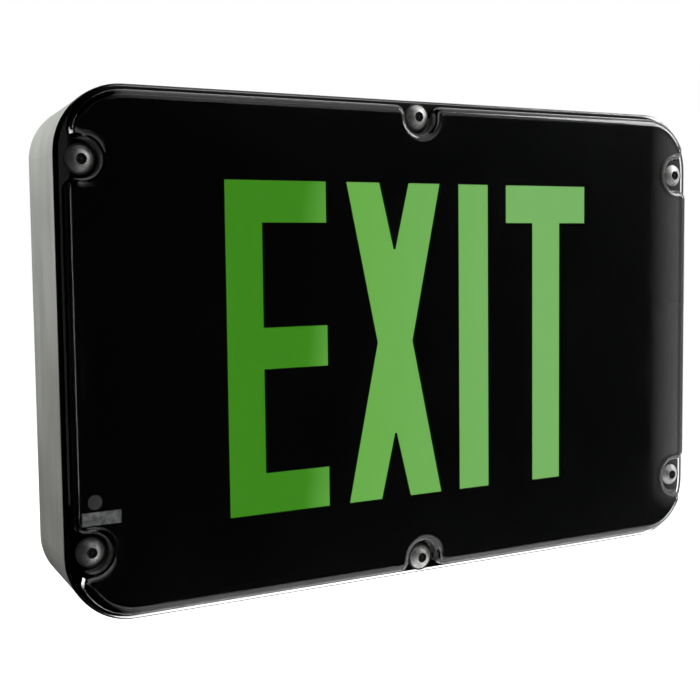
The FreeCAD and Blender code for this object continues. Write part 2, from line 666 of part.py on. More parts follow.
def letter_outlines():
    """Corners of the four letters, left to right; the word is centred on the sign."""
    high, low, half = "letter_height / 2", "-letter_height / 2", "letter_stroke / 2"
    left = "-word_width / 2"

    def stems(across, corners):
        return [(f"{across} + {right}", up) for right, up in corners]

    wide, stroke = "letter_e_width", "letter_stroke"
    e_corners = [("0", low), (wide, low), (wide, f"{low} + {stroke}"), (stroke, f"{low} + {stroke}"),
                 (stroke, f"-{half}"), (wide, f"-{half}"), (wide, half), (stroke, half),
                 (stroke, f"{high} - {stroke}"), (wide, f"{high} - {stroke}"), (wide, high), ("0", high)]
    wide, arm = "letter_x_width", "letter_stroke"
    x_corners = [("0", low), (arm, low), (f"{wide} / 2", f"{low} + letter_x_notch"), (f"{wide} - {arm}", low),
                 (wide, low), (f"({wide} + letter_x_waist) / 2", "0"), (wide, high),
                 (f"{wide} - {arm}", high), (f"{wide} / 2", f"{high} - letter_x_notch"), (arm, high),
                 ("0", high), (f"({wide} - letter_x_waist) / 2", "0")]
    i_corners = [("0", low), (stroke, low), (stroke, high), ("0", high)]
    wide = "letter_t_width"
    t_corners = [(f"({wide} - {stroke}) / 2", low), (f"({wide} + {stroke}) / 2", low),
                 (f"({wide} + {stroke}) / 2", f"{high} - {stroke}"), (wide, f"{high} - {stroke}"),
                 (wide, high), ("0", high), ("0", f"{high} - {stroke}"),
                 (f"({wide} - {stroke}) / 2", f"{high} - {stroke}")]
    x_left = f"{left} + letter_e_width + letter_gap"
    i_left = f"{x_left} + letter_x_width + letter_gap"
    t_left = f"{i_left} + letter_stroke + letter_gap"
    return [stems(left, e_corners), stems(x_left, x_corners), stems(i_left, i_corners), stems(t_left, t_corners)]


def stakes():
    """Centres of the six heat stakes that hold the diffuser."""
    across = "diffuser_width / 2 - stake_edge"
    return corners_of("0", "0", across, "stake_height") + [(f"{side}({across})", "0") for side in ("", "-")]


def status_posts():
    """Centres of the two posts that hold the status board."""
    return [("status_post_across", f"status_board_middle {side} status_post_height") for side in "+-"]


def stencil_panel():
    """Black pan that fills the cover's dome, with the word cut through its face."""
    inset, clear = "panel_inset", "(panel_inset + panel_thickness)"
    body = scalloped_block("stencil_panel", "gasket_front", "panel_front", dome_inset(inset, "gasket_front"),
                           dome_notch(inset, "gasket_front"), "dome_draft")
    combine(body, "Cut", scalloped_block("panel_hollow", "gasket_front", "panel_back",
                                         dome_inset(clear, "gasket_front"), dome_notch(clear, "gasket_front"),
                                         "dome_draft"))
    for letter, corners in zip(("e", "x", "i", "t"), letter_outlines()):
        sketch = sketch_at(body, f"letter_{letter}", "panel_front")
        outline(sketch, corners)
        pocket(body, sketch, "panel_thickness")
    seat = sketch_at(body, "legend_seat_outline", "panel_front")
    rectangle(seat, "legend_width + 2 * stake_fit", "legend_height + 2 * stake_fit", None,
              "-legend_across", "-legend_drop")
    pocket(body, seat, "legend_seat")
    lens = sketch_at(body, "lens_hole", "panel_front")
    circles(lens, [("-lamp_across", "-lamp_height")], "lens_radius + lens_fit")
    pocket(body, lens, "panel_thickness")
    for name, centres, radius, front, length in (
            ("stakes", stakes(), "stake_radius", "panel_back", "diffuser_thickness"),
            ("stake_heads", stakes(), "stake_head", "diffuser_back", "stake_head_height"),
            ("status_posts", status_posts(), "status_post_radius", "panel_back", "status_board_stand"),
            ("status_pins", status_posts(), "status_pin_radius", "status_board_front", "status_board_thickness"),
            ("status_pin_heads", status_posts(), "status_pin_head",
             "status_board_front - status_board_thickness", "stake_head_height")):
        sketch = sketch_at(body, name, front)
        circles(sketch, centres, radius)
        pad(body, sketch, length, backward=True)
    return body


def cover_screw(name, across, up):
    """Button-head screw with a hexagon socket and a pin in the middle of it."""
    body = turned(name, across, up,
                  pan_head_profile("screw_seat", "screw_head", "screw_head_height", "screw_shank", "screw_length"))
    socket = sketch_at(body, name + "_socket", "screw_seat + screw_head_height")
    outline(socket, [(f"screw_socket / sqrt(3) * cos({turn} deg)", f"screw_socket / sqrt(3) * sin({turn} deg)")
                     for turn in range(0, 360, 60)])
    circles(socket, [("0", "0")], "screw_pin")
    pocket(body, socket, "screw_socket_depth")
    return body


def screw_seal(name, across, up):
    inner = "screw_shank + hole_fit"
    return turned(name, across, up, [(inner, "flange_front"), ("seal_radius", "flange_front"),
                                     ("seal_radius", "screw_seat"), (inner, "screw_seat")])


def cover_fasteners():
    """The six screws that clamp the cover, and the seals under their heads."""
    for label, build in (("cover_screws", cover_screw), ("screw_seals", screw_seal)):
        side = build(label + "_side", "screw_across", "screw_height_side")
        middle = build(label + "_top", "0", "screw_up")
        group(label, [*mirrored_four(label, side), middle, mirrored(middle, label + "_bottom", Vector(0, 0, 1))])


# ---------------------------------------------------------------- behind the letters

def green_diffuser():
    body = plate("green_diffuser", "0", "0", "diffuser_back", "diffuser_width", "diffuser_height",
                 "diffuser_thickness", "diffuser_corner")
    holes = sketch_at(body, "diffuser_holes", "panel_back")
    circles(holes, stakes(), "stake_radius + stake_fit")
    pocket(body, holes, "diffuser_thickness")


def light_box():
    """White moulded tray, open to the front, that spreads the light of the two strips."""
    body = plate("light_box", "0", "0", "light_box_back", "light_box_width", "light_box_height",
                 "light_box_depth", "light_box_corner")
    inside = sketch_at(body, "light_box_inside", "light_box_front")
    rectangle(inside, "light_box_width - 2 * light_box_wall", "light_box_height - 2 * light_box_wall",
              "light_box_corner - light_box_wall")
    pocket(body, inside, "light_box_depth - light_box_wall")
    for name, centres, radius in (
            ("light_box_holes", light_box_posts(), "small_shank + hole_fit"),
            ("light_box_lead_holes", lead_holes(), "lead_hole")):
        holes = sketch_at(body, name, "light_box_floor")
        circles(holes, centres, radius)
        pocket(body, holes, "light_box_wall")
    four = mirrored_four("light_box_screws", small_screw(
        "light_box_screws_right", *light_box_posts()[0], "light_box_floor"))
    group("light_box_screws", four)


def lead_holes():
    """Centres of the holes that the strips' leads pass through."""
    return [("0", "strip_lead_up"), ("0", "-strip_lead_up")]


def lamp_strips():
    """The two strips on the upper and lower wall of the light box, with their lamps."""
    wall = "light_box_height / 2 - light_box_wall"
    board = plate("upper_led_board", "0", f"{wall} - led_board_thickness / 2", "light_box_floor + led_board_stand",
                  "led_board_length", "led_board_thickness", "led_board_width")
    pitch = "led_board_length / led_count"
    lamps = new_body("upper_leds")
    lamps.AllowCompound = True
    first = sketch_at(lamps, "led_outline",
                      "light_box_floor + led_board_stand + (led_board_width - led_width) / 2")
    rectangle(first, "led_length", "led_height", None, f"-(led_board_length - {pitch}) / 2",
              f"{wall} - led_board_thickness - led_height / 2")
    lamp = pad(lamps, first, "led_width")
    row = lamps.newObject("PartDesign::LinearPattern", "led_row")
    row.Originals = [lamp]
    row.Direction = (origin_plane(lamps, "X_Axis"), [""])
    row.setExpression("Length", cells(f"led_board_length - {pitch}"))
    row.setExpression("Occurrences", cells("led_count"))
    lamps.Tip = row
    doc.recompute()
    mirrored(board, "lower_led_board", Vector(0, 0, 1))
    mirrored(lamps, "lower_leds", Vector(0, 0, 1))


# ---------------------------------------------------------------- charger board

def charger_board():
    """Power supply, charger and transfer circuit on one board at the left of the light box."""
    body = plate("charger_board", "board_across", "board_middle", "board_back", "board_width", "board_height",
                 "board_thickness")
    holes = sketch_at(body, "board_holes", "board_front")
    circles(holes, board_posts(), "small_shank + hole_fit")
    pocket(body, holes, "board_thickness")
    group("charger_board_screws", [small_screw(f"board_screw_{index}", *centre, "board_front")
                                   for index, centre in enumerate(board_posts(), start=1)])
    transformer()
    plate("transfer_relay", "board_across - relay_left", "relay_middle", "board_front", "relay_width",
          "relay_length", "relay_height", "relay_width / 12")
    group("smoothing_capacitors", [capacitor(f"capacitor_{name}", f"relay_middle {side} capacitor_pitch / 2")
                                   for name, side in (("upper", "+"), ("lower", "-"))])
    terminal_block()
    group("lead_headers", [
        lead_header("battery_header", "board_across - header_pitch", "header_middle"),
        lead_header("upper_strip_header", "board_across", "header_middle"),
        lead_header("lower_strip_header", "board_across + header_pitch", "header_middle"),
        lead_header("status_header", "board_across", "-status_header_drop"),
    ])


def transformer():
    """Stack of plates with two windows, and the coil round its middle limb."""
    core = plate("transformer_core", "board_across", "core_middle", "board_front + coil_overhang", "core_width",
                 "core_height", "core_stack")
    window = "(core_width - core_limb - 2 * core_yoke) / 2"
    tall = "(core_height - 2 * core_yoke)"
    for name, side in (("left", "-"), ("right", "+")):
        sketch = sketch_at(core, f"core_window_{name}", "board_front + coil_overhang + core_stack")
        rectangle(sketch, window, tall, None, f"board_across {side} (core_limb + {window}) / 2", "core_middle")
        pocket(core, sketch, "core_stack")
    coil_tall = f"({tall} - 2 * coil_fit)"
    coil = plate("transformer_coil", "board_across", "core_middle", "board_front",
                 f"core_limb + 2 * ({window} - coil_fit)", coil_tall, "core_stack + 2 * coil_overhang", "coil_overhang / 2")
    bore = sketch_at(coil, "coil_bore", f"core_middle + {coil_tall} / 2", "XY_Plane")
    rectangle(bore, "core_limb + 2 * coil_fit", "core_stack + 2 * coil_fit", None, "board_across",
              "-(board_front + coil_overhang + core_stack / 2)")
    pocket(coil, bore, coil_tall)


def capacitor(name, up):
    """Can with a crimped groove near its foot."""
    foot, top = "board_front", "board_front + capacitor_height"
    return turned(name, "board_across + capacitor_right", up, [
        ("0", foot), ("capacitor_radius", foot), ("capacitor_radius", f"{foot} + 0.12 * capacitor_height"),
        ("0.88 * capacitor_radius", f"{foot} + 0.18 * capacitor_height"),
        ("capacitor_radius", f"{foot} + 0.24 * capacitor_height"),
        ("capacitor_radius", f"{top} - 0.1 * capacitor_radius"), ("0.9 * capacitor_radius", top), ("0", top)])


def terminal_block():
    """Screw terminals: wells over the screws, and wire entries in the lower side."""
    body = plate("terminal_block", "board_across", "terminal_middle", "board_front", "terminal_width",
                 "terminal_length", "terminal_height")
    columns = [f"board_across + {step} * terminal_pitch" for step in (-1.5, -0.5, 0.5, 1.5)]
    wells = sketch_at(body, "terminal_wells", "board_front + terminal_height")
    circles(wells, [(across, "terminal_middle") for across in columns], "terminal_hole * 1.3")
    pocket(body, wells, "terminal_height / 3")
    entries = sketch_at(body, "terminal_entries", "terminal_middle - terminal_length / 2", "XY_Plane")
    circles(entries, [(across, "-(board_front + terminal_height / 3)") for across in columns], "terminal_hole")
    pocket(body, entries, "terminal_length / 2", forward=True)


def lead_header(name, across, up):
    """Socket on the board for the plug of a pair of leads."""
    return plate(name, across, up, "board_front", "header_width", "header_length", "header_height")


# ---------------------------------------------------------------- battery

def battery_pack():
    """Four cells in one sleeve, two side by side and two end to end."""
    body = new_body("battery_pack")
    section = sketch_at(body, "battery_section", "battery_middle - battery_length / 2", "XY_Plane")
    rectangle(section, "4 * cell_radius", "2 * cell_radius", "0.98 * cell_radius", "battery_across",
              "-(battery_back + cell_radius)")
    pad(body, section, "battery_length")
    ease_edges(body, "battery_ends", "cell_radius / 9", lambda edge, faces: edge.BoundBox.ZLength < 1e-4,
               "Chamfer")


def battery_strap():
    """Steel strip folded over the length of the battery, with a foot at each end."""
    body = new_body("battery_strap")
    fold = sketch_at(body, "strap_fold", "battery_across - strap_width / 2", "YZ_Plane")
    inside = "(battery_length / 2 + battery_fit)"
    outside = f"({inside} + strap_thickness)"
    end = f"({outside} + strap_foot)"
    under, over = "strap_level", "strap_level + strap_thickness"
    crown = "battery_back + 2 * cell_radius + battery_fit"
    half = [(under, end), (over, end), (over, outside), (f"{crown} + strap_thickness", outside)]
    back = [(crown, inside), (under, inside)]
    loop = half + [(level, f"-{up}") for level, up in reversed(half)]
    loop += [(level, f"-{up}") for level, up in reversed(back)] + back
    outline(fold, [(f"-({level})", f"battery_middle + ({up})") for level, up in loop])
    pad(body, fold, "strap_width")
    width = number("strap_width")

    def bend(level):
        depth = -number(level)
        return lambda edge, faces: (abs(edge.BoundBox.XLength - width) < 1e-4
                                    and abs(edge.BoundBox.YMin - depth) < 1e-4)

    ease_edges(body, "strap_outer_bends", "1.8 * strap_thickness", bend(f"{crown} + strap_thickness"))
    ease_edges(body, "strap_inner_bends", "0.8 * strap_thickness", bend(crown))
    holes = sketch_at(body, "strap_holes", over)
    circles(holes, strap_feet(), "small_shank + hole_fit")
    pocket(body, holes, "strap_thickness")
    group("strap_screws", [small_screw(f"strap_screw_{index}", *centre, over)
                           for index, centre in enumerate(strap_feet(), start=1)])


# ---------------------------------------------------------------- status lamp and the rest

def status_parts():
    """Lens and blank plate in the panel, and the little board behind them."""
    turned("status_lamp_lens", "-lamp_across", "-lamp_height", [
        ("0", "panel_back - lens_flange_thickness"), ("lens_flange", "panel_back - lens_flange_thickness"),
        ("lens_flange", "panel_back"), ("lens_radius", "panel_back"),
        ("lens_radius", "panel_front - lens_fit"), ("0.8 * lens_radius", "panel_front"), ("0", "panel_front")])
    plate("legend_plate", "-legend_across", "-legend_drop", "panel_front - legend_seat", "legend_width",
          "legend_height", "legend_thickness")
    board = plate("status_board", "status_board_across", "status_board_middle",
                  "status_board_front - status_board_thickness", "status_board_width", "status_board_height",
                  "status_board_thickness")
    holes = sketch_at(board, "status_board_holes", "status_board_front")
    circles(holes, status_posts(), "status_pin_radius + stake_fit")
    pocket(board, holes, "status_board_thickness")
    top = "status_board_front + status_led_height"
    turned("status_led", "-lamp_across", "-lamp_height", [
        ("0", "status_board_front"), ("status_led", "status_board_front"), ("status_led", f"{top} - status_led / 2"),
        ("0.7 * status_led", f"{top} - 0.1 * status_led"), ("0", top)])
    reed = new_body("test_reed_switch")
    section = sketch_at(reed, "reed_section", "status_board_middle - reed_length / 2", "XY_Plane")
    circles(section, [("-lamp_across + reed_right", "-(status_board_front + reed_radius)")], "reed_radius")
    pad(reed, section, "reed_length")


def conduit_plug():
    """Plug that closes the conduit hub in the top, with a square socket to turn it."""
    body = new_body("conduit_plug")
    section = sketch_at(body, "plug_section", "hub_top - plug_recess - plug_length", "XY_Plane")
    circles(section, [("hub_across", "-hub_level")], "hub_hole - thread_fit")
    pad(body, section, "plug_length")
    socket = sketch_at(body, "plug_socket_outline", "hub_top - plug_recess", "XY_Plane")
    rectangle(socket, "plug_socket", "plug_socket", None, "hub_across", "-hub_level")
    pocket(body, socket, "plug_length / 2")


# ---------------------------------------------------------------- leads

def routed_wire(corners):
    """A wire of straight runs through the corners, joined by tangent arcs; prints the arcs' radii."""
    share = number("lead_turn")
    edges = []
    radii = []
    start = corners[0]
    for before, corner, after in zip(corners, corners[1:], corners[2:]):
        run_in, run_out = corner - before, after - corner
        half = run_in.getAngle(run_out) / 2
        reach = share * min(run_in.Length, run_out.Length)
        radius = reach / math.tan(half)
        way_in, way_out = Vector(run_in).normalize(), Vector(run_out).normalize()
        begin, end = corner - way_in * reach, corner + way_out * reach
        inward = Vector(way_out - way_in).normalize()
        middle = corner + inward * (radius / math.cos(half) - radius)
        edges += [Part.LineSegment(start, begin).toShape(), Part.Arc(begin, middle, end).toShape()]
        radii.append(round(radius, 2))
        start = end
    edges.append(Part.LineSegment(start, corners[-1]).toShape())
    print("bend radii:", radii)
    return Part.Wire(edges)


def lead(label, route):
    """A sleeved pair of leads swept along a route of (across, level, up)."""
    corners = [Vector(number(across), -number(level), number(up)) for across, level, up in route]
    wire = routed_wire(corners)
    radius = number("lead_radius")
    section = Part.Wire([Part.Circle(corners[0], corners[1] - corners[0], radius).toShape()])
    shape = wire.makePipeShell([section], True, False)
    expected = math.pi * radius ** 2 * wire.Length
    if abs(shape.Volume - expected) > 0.01 * expected:
        raise RuntimeError(f"{label}: volume {shape.Volume:.1f} for {expected:.1f}")
    item = doc.addObject("Part::Feature", label)
    item.Shape = shape
    item.Placement = FreeCAD.Placement()


def leads():
    """Leads from the charger board to both strips, the battery and the status board."""
    level, middle = "lead_level", "board_across"
    left, right = "board_across - header_pitch", "board_across + header_pitch"
    battery, battery_end = "battery_across - battery_lead_side", "battery_middle + battery_length / 2"
    lead("battery_lead", [
        (left, level, "header_top"), (left, level, "battery_lead_up"), (battery, level, "battery_lead_up"),
        (battery, level, battery_end)])
    lead("upper_strip_lead", [
        (middle, level, "header_top"), (middle, level, "upper_lead_up"), ("0", level, "upper_lead_up"),
        ("0", level, "strip_lead_up"), ("0", "strip_lead_front", "strip_lead_up")])
    down, foot = "-lower_lead_across", "-(cover_height / 2 - lower_lead_edge)"
    lead("lower_strip_lead", [
        (right, level, "header_top"), (right, level, "lower_lead_up"), (down, level, "lower_lead_up"),
        (down, level, foot), ("0", level, foot), ("0", level, "-strip_lead_up"),
        ("0", "strip_lead_front", "-strip_lead_up")])
    lead("status_lead", [
        (middle, level, "-(status_header_drop + header_length / 2)"), (middle, level, "status_lead_up"),
        ("status_board_across", level, "status_lead_up"),
        ("status_board_across", "status_board_front - status_board_thickness", "status_lead_up")])


NODES = [
    "back_housing", "cover_gasket", "front_cover", "cover_screws", "screw_seals", "stencil_panel",
    "green_diffuser", "light_box", "light_box_screws", "upper_led_board", "lower_led_board", "upper_leds",
    "lower_leds", "charger_board", "charger_board_screws", "transformer_core", "transformer_coil",
    "transfer_relay", "smoothing_capacitors", "terminal_block", "lead_headers", "battery_pack",
    "battery_strap", "strap_screws", "status_lamp_lens", "legend_plate", "status_board", "status_led",
    "test_reed_switch", "conduit_plug", "battery_lead", "upper_strip_lead", "lower_strip_lead", "status_lead",
]


def write_parts():
    """Checks every node's shape and writes it as a STEP file."""
    os.makedirs("parts", exist_ok=True)
    doc.recompute()
    for item in doc.Objects:
        if "Invalid" in item.State or "Error" in item.State:
            raise RuntimeError(f"{item.Label}: {item.State}")
    for node in NODES:
        item = doc.getObject(node)
        item.Label = node
        shape = item.Shape
        if shape.isNull() or not shape.isValid() or not shape.Solids:
            raise RuntimeError(f"{node}: no valid shape")
        shape.exportStep(os.path.join("parts", node + ".step"))
        print(f"{node}: {len(shape.Solids)} solids, {shape.Volume / 1000:.2f} cm3")


fill_sheets()
back_housing()
cover_gasket()
front_cover()
stencil_panel()
cover_fasteners()
green_diffuser()
light_box()
lamp_strips()
charger_board()
battery_pack()
battery_strap()
status_parts()
conduit_plug()
leads()
write_parts()
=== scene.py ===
"""Finished look of the emergency exit light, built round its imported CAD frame.

The row frame has its origin at the middle of the back face, in the plane of the wall. The sign
faces -Y, +X is to the reader's right and +Z is up. All lengths here are in metres.
"""

import json
import logging
import math
from dataclasses import dataclass, field
from enum import Enum
from typing import Any, Sequence

import bpy
import numpy as np
from mathutils import Matrix, Vector

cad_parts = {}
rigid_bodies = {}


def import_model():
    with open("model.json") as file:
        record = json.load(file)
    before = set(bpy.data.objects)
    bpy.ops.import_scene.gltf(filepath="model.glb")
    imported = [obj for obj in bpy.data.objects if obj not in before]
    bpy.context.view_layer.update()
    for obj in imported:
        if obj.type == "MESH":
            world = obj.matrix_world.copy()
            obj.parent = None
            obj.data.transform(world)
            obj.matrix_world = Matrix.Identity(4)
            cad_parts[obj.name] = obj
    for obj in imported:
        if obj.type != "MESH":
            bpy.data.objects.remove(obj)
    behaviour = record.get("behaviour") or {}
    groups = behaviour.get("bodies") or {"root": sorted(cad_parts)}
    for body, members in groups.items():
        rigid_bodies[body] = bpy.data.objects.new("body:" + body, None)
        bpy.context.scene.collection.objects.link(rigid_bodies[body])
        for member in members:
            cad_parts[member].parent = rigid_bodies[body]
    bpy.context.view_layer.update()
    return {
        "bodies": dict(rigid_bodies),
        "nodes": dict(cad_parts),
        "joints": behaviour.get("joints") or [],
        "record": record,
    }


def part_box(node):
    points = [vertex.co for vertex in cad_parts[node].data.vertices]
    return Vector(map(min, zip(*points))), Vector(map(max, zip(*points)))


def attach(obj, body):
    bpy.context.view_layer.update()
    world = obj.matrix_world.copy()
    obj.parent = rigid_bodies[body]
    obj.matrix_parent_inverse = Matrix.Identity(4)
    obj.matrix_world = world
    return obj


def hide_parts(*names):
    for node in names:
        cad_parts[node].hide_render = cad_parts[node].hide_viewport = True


LOG = logging.getLogger("exit_light")
MM = 0.001

Colour = tuple[float, float, float]
Frame = dict[str, Any]


class Axis(Enum):
    """Axis of the row frame that a gradient runs along."""

    X = 0
    Y = 1


# ---------------------------------------------------------------- materials


class Shader:
    """A material's node tree with short ways to add and join nodes."""

    def __init__(self, name: str) -> None:
        """Makes a material with an empty node tree.

        Args:
            name: name of the material.
        """
        self.material = bpy.data.materials.new(name)
        self.material.use_nodes = True
        self.tree = self.material.node_tree
        self.tree.nodes.clear()
        self.output = self.add("ShaderNodeOutputMaterial")
        self.coordinates = self.add("ShaderNodeTexCoord").outputs["Object"]

    def add(self, kind: str, **values: Any) -> bpy.types.Node:
        """Adds a node.

        Args:
            kind: Blender's name of the node's type.
            **values: properties of the node.

        Returns:
            The new node.
        """
        node = self.tree.nodes.new(kind)
        for key, value in values.items():
            setattr(node, key, value)
        return node

    def link(self, source: bpy.types.NodeSocket, target: bpy.types.NodeSocket) -> None:
        """Joins two sockets.

        Args:
            source: output that gives the value.
            target: input that takes it.
        """
        self.tree.links.new(source, target)

    def noise(self, scale: float, detail: float = 3.0, roughness: float = 0.5,
              stretch: Sequence[float] = (1.0, 1.0, 1.0)) -> bpy.types.NodeSocket:
        """Smooth noise on object coordinates.

        Args:
            scale: features per metre.
            detail: octaves.
            roughness: weight of the finer octaves.
            stretch: factor on each axis; a small factor draws the noise out along it.

        Returns:
            The noise value, about 0 to 1.
        """
        mapping = self.add("ShaderNodeMapping")
        mapping.inputs["Scale"].default_value = stretch
        self.link(self.coordinates, mapping.inputs["Vector"])
        node = self.add("ShaderNodeTexNoise")
        node.inputs["Scale"].default_value = scale
        node.inputs["Detail"].default_value = detail
        node.inputs["Roughness"].default_value = roughness
        self.link(mapping.outputs["Vector"], node.inputs["Vector"])
        return node.outputs["Fac"]

    def ramp(self, value: bpy.types.NodeSocket,
             stops: Sequence[tuple[float, Colour]]) -> bpy.types.NodeSocket:
        """Maps a value to a colour.

        Args:
            value: number from 0 to 1.
            stops: (position, colour) in rising order.

        Returns:
            The colour.
        """
        node = self.add("ShaderNodeValToRGB")
        elements = node.color_ramp.elements
        for element, (position, colour) in zip(elements, (stops[0], stops[-1])):
            element.position = position
            element.color = (*colour, 1.0)
        for position, colour in stops[1:-1]:
            elements.new(position).color = (*colour, 1.0)
        self.link(value, node.inputs["Fac"])
        return node.outputs["Color"]

    def remap(self, value: bpy.types.NodeSocket, low: float, high: float,
              source: tuple[float, float] = (0.3, 0.7)) -> bpy.types.NodeSocket:
        """Stretches a value from one range to another.

        Args:
            value: number to map.
            low: result at the start of the source range.
            high: result at its end.
            source: range that is mapped.

        Returns:
            The mapped number.
        """
        node = self.add("ShaderNodeMapRange")
        node.inputs["From Min"].default_value = source[0]
        node.inputs["From Max"].default_value = source[1]
        node.inputs["To Min"].default_value = low
        node.inputs["To Max"].default_value = high
        self.link(value, node.inputs["Value"])
        return node.outputs["Result"]

    def math(self, operation: str, first: bpy.types.NodeSocket,
             second: bpy.types.NodeSocket | float) -> bpy.types.NodeSocket:
        """Combines two numbers.

        Args:
            operation: Blender's name of the operation.
            first: first number.
            second: second number, as a socket or a constant.

        Returns:
            The result.
        """
        node = self.add("ShaderNodeMath", operation=operation)
        self.link(first, node.inputs[0])
        if isinstance(second, float):
            node.inputs[1].default_value = second
        else:
            self.link(second, node.inputs[1])
        return node.outputs[0]

    def along(self, axis: Axis, start: float, end: float) -> bpy.types.NodeSocket:
        """Position along an axis, 0 at start and 1 at end.

        Args:
            axis: axis of the row frame.
            start: where the result is 0, in metres.
            end: where the result is 1, in metres.

        Returns:
            The position.
        """
        split = self.add("ShaderNodeSeparateXYZ")
        self.link(self.coordinates, split.inputs["Vector"])
        return self.remap(split.outputs[axis.value], 0.0, 1.0, (start, end))

    def bump(self, height: bpy.types.NodeSocket, strength: float, distance: float) -> bpy.types.NodeSocket:
        """Bump from a height.

        Args:
            height: number from 0 to 1.
            strength: share of the bump that shows.
            distance: height of the bump in metres.

        Returns:
            The bent normal.
        """
        node = self.add("ShaderNodeBump")
        node.inputs["Strength"].default_value = strength
        node.inputs["Distance"].default_value = distance
        self.link(height, node.inputs["Height"])
        return node.outputs["Normal"]

    def surface(self, **inputs: float | Colour) -> bpy.types.Node:
        """Adds the principled shader and joins it to the output.

        Args:
            **inputs: values by socket name, with _ for a space.

        Returns:
            The shader node.
        """
        node = self.add("ShaderNodeBsdfPrincipled")
        for key, value in inputs.items():
            socket = node.inputs[key.replace("_", " ")]
            socket.default_value = (*value, 1.0) if isinstance(value, tuple) else value
        self.link(node.outputs["BSDF"], self.output.inputs["Surface"])
        return node


@dataclass(frozen=True)
class Finish:
    """Moulded, painted or coated surface with fine mottling.

    Attributes:
        name: material name.
        colour: middle colour, linear.
        spread: relative change of the colour between dark and light spots.
        roughness: mean roughness.
        roughness_spread: change of roughness each way.
        metallic: 0 for plastics, 1 for bare metal.
        grain: features per metre of the surface's texture.
        grain_height: depth of the texture in metres.
        stretch: factor on each axis for the colour's noise, for streaks.
        mottle: features per metre of the colour's noise.
        coat: weight of a clear coat.
        specular: strength of the reflection of a surface that isn't metal; 0.5 is plain plastic.
    """

    name: str
    colour: Colour
    spread: float = 0.08
    roughness: float = 0.45
    roughness_spread: float = 0.06
    metallic: float = 0.0
    grain: float = 900.0
    grain_height: float = 0.00008
    stretch: tuple[float, float, float] = (1.0, 1.0, 1.0)
    mottle: float = 60.0
    coat: float = 0.0
    specular: float = 0.5

    def material(self) -> bpy.types.Material:
        """Builds the material.

        Returns:
            The material.
        """
        shader = Shader(self.name)
        node = shader.surface(Metallic=self.metallic, Coat_Weight=self.coat,
                              Specular_IOR_Level=self.specular)
        dark = tuple(c * (1.0 - self.spread) for c in self.colour)
        light = tuple(min(c * (1.0 + self.spread), 1.0) for c in self.colour)
        mottle = shader.noise(self.mottle, 4.0, 0.55, self.stretch)
        shader.link(shader.ramp(mottle, [(0.3, dark), (0.7, light)]), node.inputs["Base Color"])
        rough = shader.remap(mottle, self.roughness - self.roughness_spread,
                             self.roughness + self.roughness_spread)
        shader.link(rough, node.inputs["Roughness"])
        grain = shader.noise(self.grain, 2.0)
        shader.link(shader.bump(grain, 0.5, self.grain_height), node.inputs["Normal"])
        return shader.material


@dataclass(frozen=True)
class HousingFinish:
    """Grey moulded housing: fine texture, with soft streaks along its height over a broad cloud.

    The colour follows w streaks + (1 - w) cloud, where w is the streaks' share.

    Attributes:
        colour: middle colour, linear.
        spread: relative change of the colour between dark and light spots.
        streak_share: weight of the streaks against the cloud.
        roughness: mean roughness.
        roughness_spread: change of roughness each way.
        grain_height: depth of the texture in metres.
    """

    colour: Colour = (0.21, 0.215, 0.20)
    spread: float = 0.16
    streak_share: float = 0.6
    roughness: float = 0.52
    roughness_spread: float = 0.08
    grain_height: float = 0.12 * MM

    def material(self) -> bpy.types.Material:
        """Builds the material.

        Returns:
            The material.
        """
        shader = Shader("housing_grey")
        node = shader.surface()
        streaks = shader.noise(130.0, 4.0, 0.6, (1.0, 1.0, 0.12))
        cloud = shader.noise(22.0)
        mixed = shader.math("ADD", shader.math("MULTIPLY", streaks, self.streak_share),
                            shader.math("MULTIPLY", cloud, 1.0 - self.streak_share))
        dark = tuple(c * (1.0 - self.spread) for c in self.colour)
        light = tuple(c * (1.0 + self.spread) for c in self.colour)
        shader.link(shader.ramp(mixed, [(0.34, dark), (0.5, self.colour), (0.66, light)]),
                    node.inputs["Base Color"])
        rough = shader.remap(cloud, self.roughness - self.roughness_spread,
                             self.roughness + self.roughness_spread)
        shader.link(rough, node.inputs["Roughness"])
        grain = shader.noise(1400.0, 3.0, 0.6)
        shader.link(shader.bump(grain, 0.6, self.grain_height), node.inputs["Normal"])
        return shader.material


